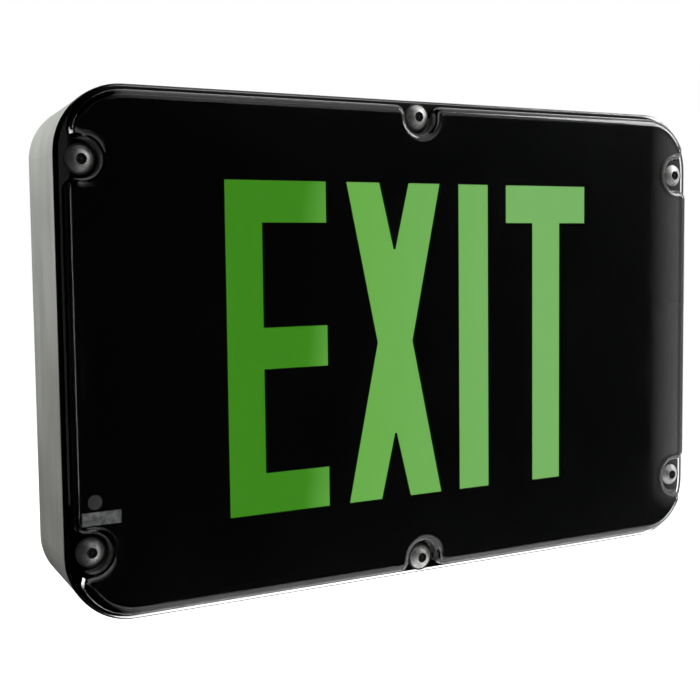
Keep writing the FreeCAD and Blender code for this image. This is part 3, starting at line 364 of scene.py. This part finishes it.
@dataclass(frozen=True)
class ClearFinish:
    """Clear polycarbonate: polished, with faint wipe marks, and hazy on the walls of the scallops.

    The haze lies where the distance d from the nearest screw's axis is between inner and outer.

    Attributes:
        screws: X and Z of a side screw and of a middle screw, in the upper right quarter.
        flange: level of the flange's front; there is no haze below it.
        colour: tint, linear.
        roughness: roughness of the clean surface.
        wiped: factors on that roughness at the smoothest and the most wiped spots.
        index: index of refraction.
        hazed: colour of the hazy walls, linear.
        haze: roughness of the hazy walls.
        clarity: share of light that still passes the hazy walls.
        inner: distance from a screw's axis to the scallop wall's near side.
        outer: distance to its far side.
        onset: width over which the haze comes in at the near side.
        fade: width over which it fades out at the far side.
        lift: heights over the flange between which it comes in.
    """

    screws: tuple[tuple[float, float], tuple[float, float]]
    flange: float
    colour: Colour = (0.97, 0.98, 0.98)
    roughness: float = 0.03
    wiped: tuple[float, float] = (0.5, 1.8)
    index: float = 1.5
    hazed: Colour = (0.50, 0.51, 0.51)
    haze: float = 0.22
    clarity: float = 0.85
    inner: float = 7.6 * MM
    outer: float = 8.3 * MM
    onset: float = 0.2 * MM
    fade: float = 0.8 * MM
    lift: tuple[float, float] = (0.3 * MM, 0.5 * MM)

    def distance(self, shader: Shader, folded: bpy.types.NodeSocket,
                 point: tuple[float, float]) -> bpy.types.NodeSocket:
        """Distance of the folded position from a point in the plane of the sign.

        Args:
            shader: node tree to add to.
            folded: position with its signs dropped and its level set to 0.
            point: X and Z of the point.

        Returns:
            The distance in metres.
        """
        away = shader.add("ShaderNodeVectorMath", operation="DISTANCE")
        away.inputs[1].default_value = (point[0], 0.0, point[1])
        shader.link(folded, away.inputs[0])
        return away.outputs["Value"]

    def weight(self, shader: Shader) -> bpy.types.NodeSocket:
        """Weight of the haze.

        Args:
            shader: node tree to add to.

        Returns:
            The weight, 0 on the polished face and 1 on a scallop's wall.
        """
        flat = shader.add("ShaderNodeVectorMath", operation="MULTIPLY")
        flat.inputs[1].default_value = (1.0, 0.0, 1.0)
        shader.link(shader.coordinates, flat.inputs[0])
        folded = shader.add("ShaderNodeVectorMath", operation="ABSOLUTE")
        shader.link(flat.outputs[0], folded.inputs[0])
        nearest = shader.math("MINIMUM", *(self.distance(shader, folded.outputs[0], screw)
                                           for screw in self.screws))
        begun = shader.remap(nearest, 0.0, 1.0, (self.inner - self.onset, self.inner))
        ended = shader.remap(nearest, 1.0, 0.0, (self.outer, self.outer + self.fade))
        low, high = self.lift
        above = shader.along(Axis.Y, -self.flange - low, -self.flange - high)
        return shader.math("MULTIPLY", shader.math("MULTIPLY", begun, ended), above)

    def material(self) -> bpy.types.Material:
        """Builds the material.

        Returns:
            The material.
        """
        shader = Shader("clear_polycarbonate")
        node = shader.surface(IOR=self.index)
        weight = self.weight(shader)
        wipe = shader.noise(35.0, 4.0, 0.6, (1.0, 1.0, 0.4))
        smoothest, roughest = self.wiped
        clean = shader.remap(wipe, self.roughness * smoothest, self.roughness * roughest)
        shader.link(shader.math("MAXIMUM", clean, shader.math("MULTIPLY", weight, self.haze)),
                    node.inputs["Roughness"])
        shader.link(shader.ramp(weight, [(0.0, self.colour), (1.0, self.hazed)]), node.inputs["Base Color"])
        shader.link(shader.remap(weight, 1.0, self.clarity, (0.0, 1.0)), node.inputs["Transmission Weight"])
        return shader.material


@dataclass(frozen=True)
class GlowFinish:
    """Green sheet lit from behind: the colour runs from deep green at the left to pale at the right; the glow
    is the sign's own light, and its paling towards the right is a painted reflection of light over the cover.

    Attributes:
        left: glow at the left end of the word, linear.
        middle: glow past the word's first letter, paled by the painted reflection.
        right: glow at the right end, paled most by the painted reflection.
        stops: where left's glow ends, middle's lies and right's begins, from 0 to 1 along the word.
        drift: how far a soft cloud shifts the glow each way, on the same scale.
        reach: distance of the word's ends from the middle of the sign, in metres.
        sheet: colour of the sheet itself, linear.
    """

    left: Colour = (0.046, 0.240, 0.010)
    middle: Colour = (0.150, 0.440, 0.072)
    right: Colour = (0.205, 0.480, 0.138)
    stops: tuple[float, float, float] = (0.2, 0.3, 0.8)
    drift: float = 0.03
    reach: float = 0.105
    sheet: Colour = (0.012, 0.05, 0.008)

    def material(self) -> bpy.types.Material:
        """Builds the material.

        Returns:
            The material.
        """
        shader = Shader("green_sheet")
        node = shader.surface(Roughness=0.5, Base_Color=self.sheet, Specular_IOR_Level=0.1,
                              Emission_Strength=1.0)
        place = shader.along(Axis.X, -self.reach, self.reach)
        shift = shader.remap(shader.noise(14.0, 2.0), -self.drift, self.drift)
        deep, turned, pale = self.stops
        # Paler towards the right: painted reflection laid into the glow's colour.
        glow = shader.ramp(shader.math("ADD", place, shift), [
            (0.0, self.left), (deep, self.left), (turned, self.middle), (pale, self.right)])
        shader.link(glow, node.inputs["Emission Color"])
        return shader.material


@dataclass(frozen=True)
class BoardFinish:
    """Lacquered circuit board with tracks of a lighter green.

    Attributes:
        ground: colour between the tracks, linear.
        track: colour over copper, linear.
        cells: cells of the track pattern per metre.
    """

    ground: Colour = (0.012, 0.07, 0.025)
    track: Colour = (0.03, 0.14, 0.05)
    cells: float = 260.0

    def material(self) -> bpy.types.Material:
        """Builds the material.

        Returns:
            The material.
        """
        shader = Shader("circuit_board")
        node = shader.surface(Roughness=0.35, Coat_Weight=0.3)
        cell = shader.add("ShaderNodeTexVoronoi", distance="MANHATTAN")
        cell.inputs["Scale"].default_value = self.cells
        shader.link(shader.coordinates, cell.inputs["Vector"])
        shader.link(shader.ramp(cell.outputs["Distance"], [(0.35, self.ground), (0.4, self.track)]),
                    node.inputs["Base Color"])
        return shader.material


@dataclass(frozen=True)
class SteelFinish:
    """Stainless or zinc-plated steel with a fine grain and slight soiling.

    Attributes:
        name: material name.
        colour: colour of the clean metal, linear.
        roughness: roughness of the clean metal.
        soiled: share of the colour that is left in a soiled spot.
        dulled: how much rougher a soiled spot is.
        grain_height: depth of the grain in metres.
    """

    name: str
    colour: Colour = (0.48, 0.48, 0.47)
    roughness: float = 0.5
    soiled: float = 0.55
    dulled: float = 0.15
    grain_height: float = 0.03 * MM

    def material(self) -> bpy.types.Material:
        """Builds the material.

        Returns:
            The material.
        """
        shader = Shader(self.name)
        node = shader.surface(Metallic=1.0)
        soil = shader.noise(300.0, 4.0, 0.6)
        dark = tuple(c * self.soiled for c in self.colour)
        shader.link(shader.ramp(soil, [(0.36, dark), (0.52, self.colour)]), node.inputs["Base Color"])
        rough = shader.remap(soil, self.roughness + self.dulled, self.roughness)
        shader.link(rough, node.inputs["Roughness"])
        fine = shader.noise(4000.0, 2.0)
        shader.link(shader.bump(fine, 0.25, self.grain_height), node.inputs["Normal"])
        return shader.material


# ---------------------------------------------------------------- layout


@dataclass(frozen=True)
class Layout:
    """Places that several pieces share, read from the frame.

    Attributes:
        across: X of the side screws.
        middle_up: Z of the top middle screw.
        seat: level of the front of the screws' seals.
        flange: level of the front of the cover's flange.
        side_up: Z of the upper side screws.
    """

    across: float
    middle_up: float
    seat: float
    flange: float
    side_up: float = 83.5 * MM

    @classmethod
    def read(cls, head: float) -> "Layout":
        """Works the places out from the boxes of the screws and their seals.

        Args:
            head: radius of a cover screw's head.

        Returns:
            The layout.
        """
        _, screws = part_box("cover_screws")
        seal_front, seal_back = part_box("screw_seals")
        return cls(screws[0] - head, screws[2] - head, -seal_front[1], -seal_back[1])


# ---------------------------------------------------------------- surfaces


def grid_faces(rows: int, columns: int) -> np.ndarray:
    """Quads of a grid of points that closes on itself along its columns.

    Args:
        rows: number of rings of points.
        columns: points on each ring.

    Returns:
        An array of quads, (rows - 1) * columns by 4.
    """
    row, column = np.meshgrid(np.arange(rows - 1), np.arange(columns), indexing="ij")
    after = (column + 1) % columns
    quads = np.stack([row * columns + column, row * columns + after,
                      (row + 1) * columns + after, (row + 1) * columns + column], axis=-1)
    return quads.reshape(-1, 4)


def mesh_piece(name: str, points: np.ndarray, faces: Sequence[Sequence[int]],
               material: bpy.types.Material) -> bpy.types.Object:
    """Makes an object whose points are already in the row frame.

    Args:
        name: name of the object and its mesh.
        points: array of points, n by 3.
        faces: corner indices of each face.
        material: material of the whole piece.

    Returns:
        The object, at the origin and unturned.
    """
    mesh = bpy.data.meshes.new(name)
    mesh.from_pydata(points.tolist(), [], [list(map(int, face)) for face in faces])
    mesh.materials.append(material)
    mesh.polygons.foreach_set("use_smooth", [True] * len(mesh.polygons))
    mesh.update()
    piece = bpy.data.objects.new(name, mesh)
    bpy.context.scene.collection.objects.link(piece)
    return piece


@dataclass
class SecurityScrew:
    """Button-head screw with a six-lobed socket, a pin in its middle and a cut thread.

    The whole screw is one surface P(u, v) = (r cos u, y, r sin u) about an axis along Y. The
    profile (r, y) runs from the pin's tip out over the socket and the head and down the shank.
    In the socket r = R (1 + a cos 6u), the six lobes. On the shank
    r = R - d + d |2 frac(y / p + u / 2 pi) - 1|, a thread of depth d and pitch p.

    Attributes:
        head: radius of the head.
        rise: height of the head.
        shank: radius over the thread.
        length: length under the head.
        socket: mean radius of the socket.
        lobe: a, the relative depth of the lobes.
        depth: depth of the socket.
        pin: radius of the pin.
        pitch: pitch of the thread.
        thread: depth of the thread.
        plain: length under the head before the thread.
        point: length at the tip after it.
        around: points on a ring.
        socket_rings: number of rings, from the pin's tip on, that lie in the socket.
        dome_rings: rings on the head's crown.
        thread_rings: rings along the thread.
    """

    head: float = 5.8 * MM
    rise: float = 2.5 * MM
    shank: float = 2.4 * MM
    length: float = 24.0 * MM
    socket: float = 2.0 * MM
    lobe: float = 0.13
    depth: float = 1.5 * MM
    pin: float = 0.6 * MM
    pitch: float = 1.4 * MM
    thread: float = 0.35 * MM
    plain: float = 0.8 * MM
    point: float = 1.2 * MM
    around: int = 48
    socket_rings: int = 8
    dome_rings: int = 9
    thread_rings: int = 64

    def profile(self) -> tuple[np.ndarray, np.ndarray, np.ndarray]:
        """Rings of the screw, from the pin's tip to the shank's tip.

        The head is the part of a sphere of radius S = (head^2 + rise^2) / (2 rise), so that
        its level at radius r is rise - S + sqrt(S^2 - r^2).

        Returns:
            Radius, level over the seat, and weight of the lobes (1) or thread (-1), per ring.
        """
        sphere = (self.head ** 2 + self.rise ** 2) / (2.0 * self.rise)
        edge = 0.93 * self.head
        radii = np.linspace(self.socket * (1.0 + self.lobe) * 1.06, edge, self.dome_rings)
        dome = self.rise - sphere + np.sqrt(sphere ** 2 - radii ** 2)
        floor = self.rise - self.depth
        tip = floor + 0.8 * self.depth
        turns = np.linspace(-self.plain, -self.length + self.point, self.thread_rings)
        rings = [(1e-6, tip, 0.0), (0.8 * self.pin, tip, 0.0), (self.pin, tip - 0.2 * self.pin, 0.0),
                 (self.pin, floor, 0.0), (1.02 * self.pin, floor, 0.0), (0.98 * self.socket, floor, 1.0),
                 (self.socket, floor, 1.0), (self.socket, dome[0] - 0.1 * MM, 1.0)]
        rings += [(r, y, 0.0) for r, y in zip(radii, dome)]
        rings += [(0.985 * self.head, 0.5 * dome[-1], 0.0), (self.head, 0.25 * dome[-1], 0.0),
                  (self.head, 0.03 * self.rise, 0.0), (0.98 * self.head, 0.0, 0.0),
                  (self.shank, 0.0, 0.0), (self.shank - self.thread, -0.5 * MM, 0.0)]
        rings += [(self.shank, y, -1.0) for y in turns]
        rings += [(0.8 * (self.shank - self.thread), -self.length + 0.4 * MM, 0.0),
                  (0.5 * self.shank, -self.length, 0.0), (1e-6, -self.length, 0.0)]
        table = np.array(rings)
        return table[:, 0], table[:, 1], table[:, 2]

    def points(self, across: float, up: float, seat: float, turn: float) -> np.ndarray:
        """Points of one screw in the row frame.

        Args:
            across: X of its axis.
            up: Z of its axis.
            seat: level of the head's underside, out from the wall.
            turn: angle that the socket is turned by.

        Returns:
            Array of rings by points by 3.
        """
        radius, level, kind = self.profile()
        angle = np.linspace(0.0, 2.0 * math.pi, self.around, endpoint=False)[None, :]
        radius, level, kind = (values[:, None] for values in (radius, level, kind))
        lobes = 1.0 + self.lobe * np.cos(6.0 * (angle + turn)) * (kind > 0.0)
        phase = np.mod(level / self.pitch + angle / (2.0 * math.pi), 1.0)
        cut = self.thread * (1.0 - np.abs(2.0 * phase - 1.0)) * (kind < 0.0)
        spread = radius * lobes - cut
        return np.stack([across + spread * np.cos(angle), -(seat + level) + 0.0 * angle,
                         up + spread * np.sin(angle)], axis=-1)


@dataclass
class CoverFasteners:
    """The six screws that clamp the cover, standing on their rubber seals.

    Attributes:
        layout: places of the screws and their seats.
        screw: form of one screw.
        shade_paint: near-black finish painted into the sockets as their shade.
        turns: angle of each screw's socket, in degrees.
    """

    layout: Layout
    screw: SecurityScrew = field(default_factory=SecurityScrew)
    # Near-black finish for the sockets: painted shade in the recesses.
    shade_paint: Finish = Finish("socket_painted_shade", (0.006, 0.006, 0.006), roughness=0.8)
    turns: tuple[float, ...] = (8.0, 41.0, 23.0, 52.0, 15.0, 34.0)

    def build(self) -> bpy.types.Object:
        """Builds the screws as one piece of six closed shells.

        Returns:
            The piece, riding on the body and standing for the CAD screws.
        """
        at = self.layout
        places = [(x, z) for x in (-at.across, at.across) for z in (-at.side_up, at.side_up)]
        places += [(0.0, at.middle_up), (0.0, -at.middle_up)]
        shells = [self.screw.points(x, z, at.seat, math.radians(turn))
                  for (x, z), turn in zip(places, self.turns)]
        rows, columns = shells[0].shape[:2]
        quads = grid_faces(rows, columns)[:, ::-1]  # turned over, so that the faces point outwards
        points = np.concatenate([shell.reshape(-1, 3) for shell in shells])
        starts = np.arange(len(shells)) * rows * columns
        faces = np.concatenate([quads + start for start in starts])
        ring = np.arange(columns)
        caps = starts[:, None] + ring
        ends = starts[:, None] + (rows - 1) * columns + ring[::-1]
        piece = mesh_piece("cover_screws_fine", points, [*faces.tolist(), *caps.tolist(), *ends.tolist()],
                           SteelFinish("stainless_screw").material())
        # The socket faces take the near-black finish, painted shade in the recesses.
        piece.data.materials.append(self.shade_paint.material())
        inside = np.zeros(len(piece.data.polygons), dtype=np.int32)
        inside[:len(faces)] = np.tile(np.repeat(np.arange(rows - 1) < self.screw.socket_rings, columns),
                                      len(shells))
        piece.data.polygons.foreach_set("material_index", inside)
        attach(piece, "root")
        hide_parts("cover_screws")
        return piece


# ---------------------------------------------------------------- sub-assemblies


def dress(frame: Frame, finishes: dict[str, bpy.types.Material]) -> None:
    """Gives CAD nodes their materials.

    Args:
        frame: the loaded frame.
        finishes: material of each node by name.
    """
    for name, material in finishes.items():
        node = frame["nodes"][name]
        for slot in node.material_slots:
            slot.material = material
        LOG.info("dressed %s with %s", name, material.name)


@dataclass
class Enclosure:
    """Back housing, gasket, clear cover and plug.

    Attributes:
        layout: places of the cover's screws and flange.
        housing: finish of the housing.
        rubber: finish of the gasket and the seals.
        plug: finish of the conduit plug.
    """

    layout: Layout
    housing: HousingFinish = field(default_factory=HousingFinish)
    rubber: Finish = Finish("black_rubber", (0.012, 0.012, 0.012), roughness=0.7, grain_height=0.00005)
    plug: Finish = Finish("plug_grey", (0.10, 0.105, 0.10), roughness=0.5)

    def dress(self, frame: Frame) -> None:
        """Gives the enclosure's nodes their materials.

        Args:
            frame: the loaded frame.
        """
        rubber = self.rubber.material()
        at = self.layout
        cover = ClearFinish(((at.across, at.side_up), (0.0, at.middle_up)), at.flange)
        dress(frame, {"back_housing": self.housing.material(), "front_cover": cover.material(),
                      "cover_gasket": rubber, "screw_seals": rubber, "conduit_plug": self.plug.material()})


@dataclass
class SignFace:
    """Stencil panel, green diffuser, status lamp and blank plate."""

    panel: Finish = Finish("black_panel", (0.0015, 0.0015, 0.0015), spread=0.2, roughness=0.5,
                           roughness_spread=0.05, grain_height=0.00001, grain=500.0, specular=0.06)
    glow: GlowFinish = field(default_factory=GlowFinish)
    lens: Finish = Finish("grey_lens", (0.20, 0.20, 0.205), roughness=0.3, grain_height=0.00002)
    plate: Finish = Finish("pale_plate", (0.60, 0.60, 0.60), spread=0.55, roughness=0.5, mottle=500.0)

    def dress(self, frame: Frame) -> None:
        """Gives the face's nodes their materials.

        Args:
            frame: the loaded frame.
        """
        dress(frame, {"stencil_panel": self.panel.material(), "green_diffuser": self.glow.material(),
                      "status_lamp_lens": self.lens.material(), "legend_plate": self.plate.material()})


@dataclass
class Inside:
    """What the housing holds: light box, lamps, boards, transformer and battery."""

    white: Finish = Finish("white_tray", (0.78, 0.78, 0.76), spread=0.03, roughness=0.5)
    board: BoardFinish = field(default_factory=BoardFinish)
    lamp: Finish = Finish("lamp_yellow", (0.7, 0.62, 0.2), roughness=0.25, coat=0.4)
    core: Finish = Finish("core_plates", (0.04, 0.04, 0.045), spread=0.35, roughness=0.4,
                          stretch=(0.05, 1.0, 0.05), mottle=2500.0)
    tape: Finish = Finish("coil_tape", (0.5, 0.33, 0.05), roughness=0.4)
    black: Finish = Finish("black_case", (0.012, 0.012, 0.013), roughness=0.4)
    sleeve: Finish = Finish("capacitor_sleeve", (0.01, 0.015, 0.06), roughness=0.25, coat=0.3)
    terminal: Finish = Finish("terminal_green", (0.02, 0.16, 0.04), roughness=0.4)
    battery: Finish = Finish("battery_sleeve", (0.02, 0.08, 0.25), roughness=0.3, coat=0.4)
    glass: Finish = Finish("reed_glass", (0.4, 0.5, 0.45), roughness=0.1)
    lead: Finish = Finish("lead_sleeve", (0.22, 0.02, 0.015), spread=0.1, roughness=0.4, grain_height=0.00002)
    leads: tuple[str, ...] = ("battery_lead", "upper_strip_lead", "lower_strip_lead", "status_lead")
    header: Finish = Finish("header_white", (0.7, 0.69, 0.64), roughness=0.4)

    def dress(self, frame: Frame) -> None:
        """Gives the inner nodes their materials.

        Args:
            frame: the loaded frame.
        """
        steel = SteelFinish("zinc_steel", (0.5, 0.5, 0.5), 0.35).material()
        board, lamp = self.board.material(), self.lamp.material()
        dress(frame, {
            "light_box": self.white.material(), "light_box_screws": steel, "charger_board_screws": steel,
            "strap_screws": steel, "battery_strap": steel, "upper_led_board": board, "lower_led_board": board,
            "charger_board": board, "status_board": board, "upper_leds": lamp, "lower_leds": lamp,
            "status_led": lamp, "transformer_core": self.core.material(),
            "transformer_coil": self.tape.material(), "transfer_relay": self.black.material(),
            "smoothing_capacitors": self.sleeve.material(), "terminal_block": self.terminal.material(),
            "lead_headers": self.header.material(), "battery_pack": self.battery.material(),
            "test_reed_switch": self.glass.material(), **dict.fromkeys(self.leads, self.lead.material()),
        })


# ---------------------------------------------------------------- studio


@dataclass(frozen=True)
class SoftLight:
    """Rectangular area light.

    Attributes:
        name: name of the light.
        place: position in metres.
        target: point that it shines at.
        size: width and height in metres.
        power: power in watts.
        mirrored: whether the lamp shows in reflections and through glass.
    """

    name: str
    place: tuple[float, float, float]
    target: tuple[float, float, float]
    size: tuple[float, float]
    power: float
    mirrored: bool = True

    def build(self) -> None:
        """Adds the light, turned towards its target."""
        data = bpy.data.lights.new(self.name, "AREA")
        data.shape = "RECTANGLE"
        data.size, data.size_y = self.size
        data.energy = self.power
        lamp = bpy.data.objects.new(self.name, data)
        lamp.location = self.place
        lamp.visible_glossy = lamp.visible_transmission = self.mirrored
        way = Vector(self.target) - Vector(self.place)
        lamp.rotation_euler = way.to_track_quat("-Z", "Y").to_euler()
        bpy.context.scene.collection.objects.link(lamp)


@dataclass(frozen=True)
class Card:
    """Flat black card beside the sign, which only reflections and glass show.

    The card is P(s, t) = corner + s across + t along, with s and t from 0 to 1.

    Attributes:
        name: name of the card.
        corner: its first corner in metres.
        across: first edge, from that corner.
        along: second edge, from that corner.
        fade: width over which the card thins out at the far end of each edge.
        colour: colour of the card, linear.
    """

    name: str
    corner: tuple[float, float, float]
    across: tuple[float, float, float]
    along: tuple[float, float, float]
    fade: float = 0.12
    colour: Colour = (0.002, 0.002, 0.002)

    def share(self, shader: Shader, edge: tuple[float, float, float]) -> bpy.types.NodeSocket:
        """Blackness along one edge: s = (P - corner) . edge / |edge|^2, full until it nears 1.

        Args:
            shader: node tree to add to.
            edge: the edge.

        Returns:
            1 over most of the card, falling to 0 at the edge's far end.
        """
        length = np.linalg.norm(edge)
        unit = np.array(edge) / length
        start = float(np.dot(self.corner, unit))
        run = shader.add("ShaderNodeVectorMath", operation="DOT_PRODUCT")
        run.inputs[1].default_value = tuple(unit)
        shader.link(shader.coordinates, run.inputs[0])
        end = start + float(length)
        return shader.remap(run.outputs["Value"], 1.0, 0.0, (end - self.fade, end))

    def material(self) -> bpy.types.Material:
        """Builds the material: matt black that turns clear towards the far ends.

        Returns:
            The material.
        """
        shader = Shader("card_black")
        node = shader.surface(Base_Color=self.colour, Roughness=0.9, Specular_IOR_Level=0.0)
        clear = shader.add("ShaderNodeBsdfTransparent")
        mixed = shader.add("ShaderNodeMixShader")
        shader.link(shader.math("MULTIPLY", self.share(shader, self.across), self.share(shader, self.along)),
                    mixed.inputs["Fac"])
        shader.link(clear.outputs[0], mixed.inputs[1])
        shader.link(node.outputs["BSDF"], mixed.inputs[2])
        shader.link(mixed.outputs[0], shader.output.inputs["Surface"])
        return shader.material

    def build(self) -> None:
        """Adds the card as a part of the stage."""
        corner, across, along = (np.array(side) for side in (self.corner, self.across, self.along))
        points = np.stack([corner, corner + across, corner + across + along, corner + along])
        card = mesh_piece(self.name, points, [(0, 1, 2, 3)], self.material())
        card.visible_camera = card.visible_diffuse = card.visible_shadow = False


@dataclass
class Studio:
    """Camera, lights, white surround, a pale floor and the black cards that the sign mirrors.

    Attributes:
        eye: position of the camera.
        yaw: turn of the view to the right of +Y, in degrees.
        pitch: tilt of the view upwards, in degrees.
        roll: clockwise turn of the camera, in degrees.
        lens: focal length in millimetres.
        sensor: width of the camera's frame in millimetres.
        floor: level of the floor.
        floor_radius: radius of the floor.
        floor_points: points round its rim.
        floor_shades: its darkest and lightest grey, linear.
        floor_glow: light that it gives off where it is seen or mirrored.
        lights: the lamps.
        ambient: brightness of the surround as light on the object.
        surround: brightness of the surround where it is seen or mirrored.
        cards: the black cards around the sign.
    """

    eye: tuple[float, float, float] = (-0.34077, -0.57257, 0.04344)
    yaw: float = 30.419
    pitch: float = -4.457
    roll: float = 0.654
    lens: float = 64.65
    sensor: float = 36.0
    floor: float = -0.24
    floor_radius: float = 6.0
    floor_points: int = 96
    floor_shades: tuple[float, float] = (0.86, 0.9)
    floor_glow: float = 0.96
    lights: tuple[SoftLight, ...] = (
        SoftLight("key", (-0.39, 0.0, 0.27), (-0.18, -0.02, 0.06), (0.14, 0.14), 2.2, False),
        SoftLight("front", (0.20, -1.1, 0.9), (0.0, -0.05, 0.0), (0.7, 0.5), 6.0, False),
        SoftLight("right", (0.60, -0.35, 0.42), (0.1, -0.05, 0.0), (0.3, 0.4), 3.0),
        SoftLight("back", (0.35, 0.9, 0.5), (0.0, 0.0, 0.0), (0.6, 0.6), 4.0, False),
    )
    ambient: float = 0.03
    surround: float = 1.0
    cards: tuple[Card, ...] = (
        Card("right_card", (-0.03, -0.5, -0.235), (0.65, 0.0, 0.0), (0.0, 0.0, 0.45), 0.05),
        Card("camera_card", (-1.4, -0.9, -0.235), (1.72, 0.0, 0.0), (0.0, 0.0, 1.35), 0.3),
        Card("left_card", (-0.95, -0.9, -0.235), (0.0, 1.6, 0.0), (0.0, 0.0, 1.5), 0.3),
        Card("back_card", (-0.95, 0.3, -0.235), (1.0, 0.0, 0.0), (0.0, 0.0, 1.5), 0.2),
        Card("upper_card", (-0.95, -0.9, 0.95), (1.1, 0.0, 0.0), (0.0, 1.6, 0.0), 0.2),
        Card("lower_card", (-0.95, -0.45, -0.235), (0.88, 0.0, 0.0), (0.0, 0.85, 0.0), 0.08),
        Card("front_card", (-0.95, -0.9, -0.235), (1.69, 0.0, 0.0), (0.0, 0.57, 0.0)),
    )

    def build(self) -> None:
        """Builds the camera, the lights, the surround, the floor and the cards."""
        self.build_camera()
        for light in self.lights:
            light.build()
        self.build_world()
        self.build_floor()
        for card in self.cards:
            card.build()
        bpy.context.scene.view_settings.view_transform = "Standard"

    def build_camera(self) -> None:
        """Adds the camera, which is rolled, tilted up from straight down and then turned by its yaw."""
        data = bpy.data.cameras.new("camera")
        data.lens = self.lens
        data.sensor_width = self.sensor
        data.clip_start = 0.01
        camera = bpy.data.objects.new("camera", data)
        turn = (Matrix.Rotation(-math.radians(self.yaw), 4, "Z")
                @ Matrix.Rotation(math.radians(90.0 + self.pitch), 4, "X")
                @ Matrix.Rotation(-math.radians(self.roll), 4, "Z"))
        camera.matrix_world = Matrix.Translation(self.eye) @ turn
        bpy.context.scene.collection.objects.link(camera)
        bpy.context.scene.camera = camera

    def build_world(self) -> None:
        """Makes the surround white where it is seen or mirrored, and dim as a light."""
        world = bpy.data.worlds.new("surround")
        world.use_nodes = True
        tree = world.node_tree
        tree.nodes.clear()
        output = tree.nodes.new("ShaderNodeOutputWorld")
        ray = tree.nodes.new("ShaderNodeLightPath")
        shades = []
        for strength in (self.ambient, self.surround):
            shade = tree.nodes.new("ShaderNodeBackground")
            shade.inputs["Strength"].default_value = strength
            shade.inputs["Color"].default_value = (1.0, 1.0, 1.0, 1.0)
            shades.append(shade)
        seen = tree.nodes.new("ShaderNodeMixShader")
        tree.links.new(ray.outputs["Is Diffuse Ray"], seen.inputs["Fac"])
        tree.links.new(shades[1].outputs[0], seen.inputs[1])
        tree.links.new(shades[0].outputs[0], seen.inputs[2])
        tree.links.new(seen.outputs[0], output.inputs["Surface"])
        bpy.context.scene.world = world

    def build_floor(self) -> None:
        """Adds the floor: a disc with its rim at (R cos u, R sin u), on the floor's level."""
        angle = np.linspace(0.0, 2.0 * math.pi, self.floor_points, endpoint=False)
        points = np.stack([self.floor_radius * np.cos(angle), self.floor_radius * np.sin(angle),
                           np.full_like(angle, self.floor)], axis=-1)
        shader = Shader("floor_pale")
        node = shader.surface(Roughness=0.9)
        dark, light = ((shade, shade, shade) for shade in self.floor_shades)
        shader.link(shader.ramp(shader.noise(3.0), [(0.3, dark), (0.7, light)]), node.inputs["Base Color"])
        glow = shader.add("ShaderNodeEmission")
        glow.inputs["Strength"].default_value = self.floor_glow
        ray = shader.add("ShaderNodeLightPath")
        total = shader.add("ShaderNodeAddShader")
        seen = shader.add("ShaderNodeMixShader")
        shader.link(node.outputs["BSDF"], total.inputs[0])
        shader.link(glow.outputs[0], total.inputs[1])
        shader.link(ray.outputs["Is Diffuse Ray"], seen.inputs["Fac"])
        shader.link(total.outputs[0], seen.inputs[1])
        shader.link(node.outputs["BSDF"], seen.inputs[2])
        shader.link(seen.outputs[0], shader.output.inputs["Surface"])
        mesh_piece("floor", points, [list(range(len(angle)))], shader.material)


def main() -> None:
    """Loads the frame, dresses it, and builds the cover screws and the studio."""
    logging.basicConfig(level=logging.INFO, format="%(name)s: %(message)s")
    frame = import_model()
    layout = Layout.read(SecurityScrew.head)
    for assembly in (Enclosure(layout), SignFace(), Inside()):
        assembly.dress(frame)
    piece = CoverFasteners(layout).build()
    LOG.info("built %s with %d faces", piece.name, len(piece.data.polygons))
    Studio().build()


if __name__ == "__main__":
    main()
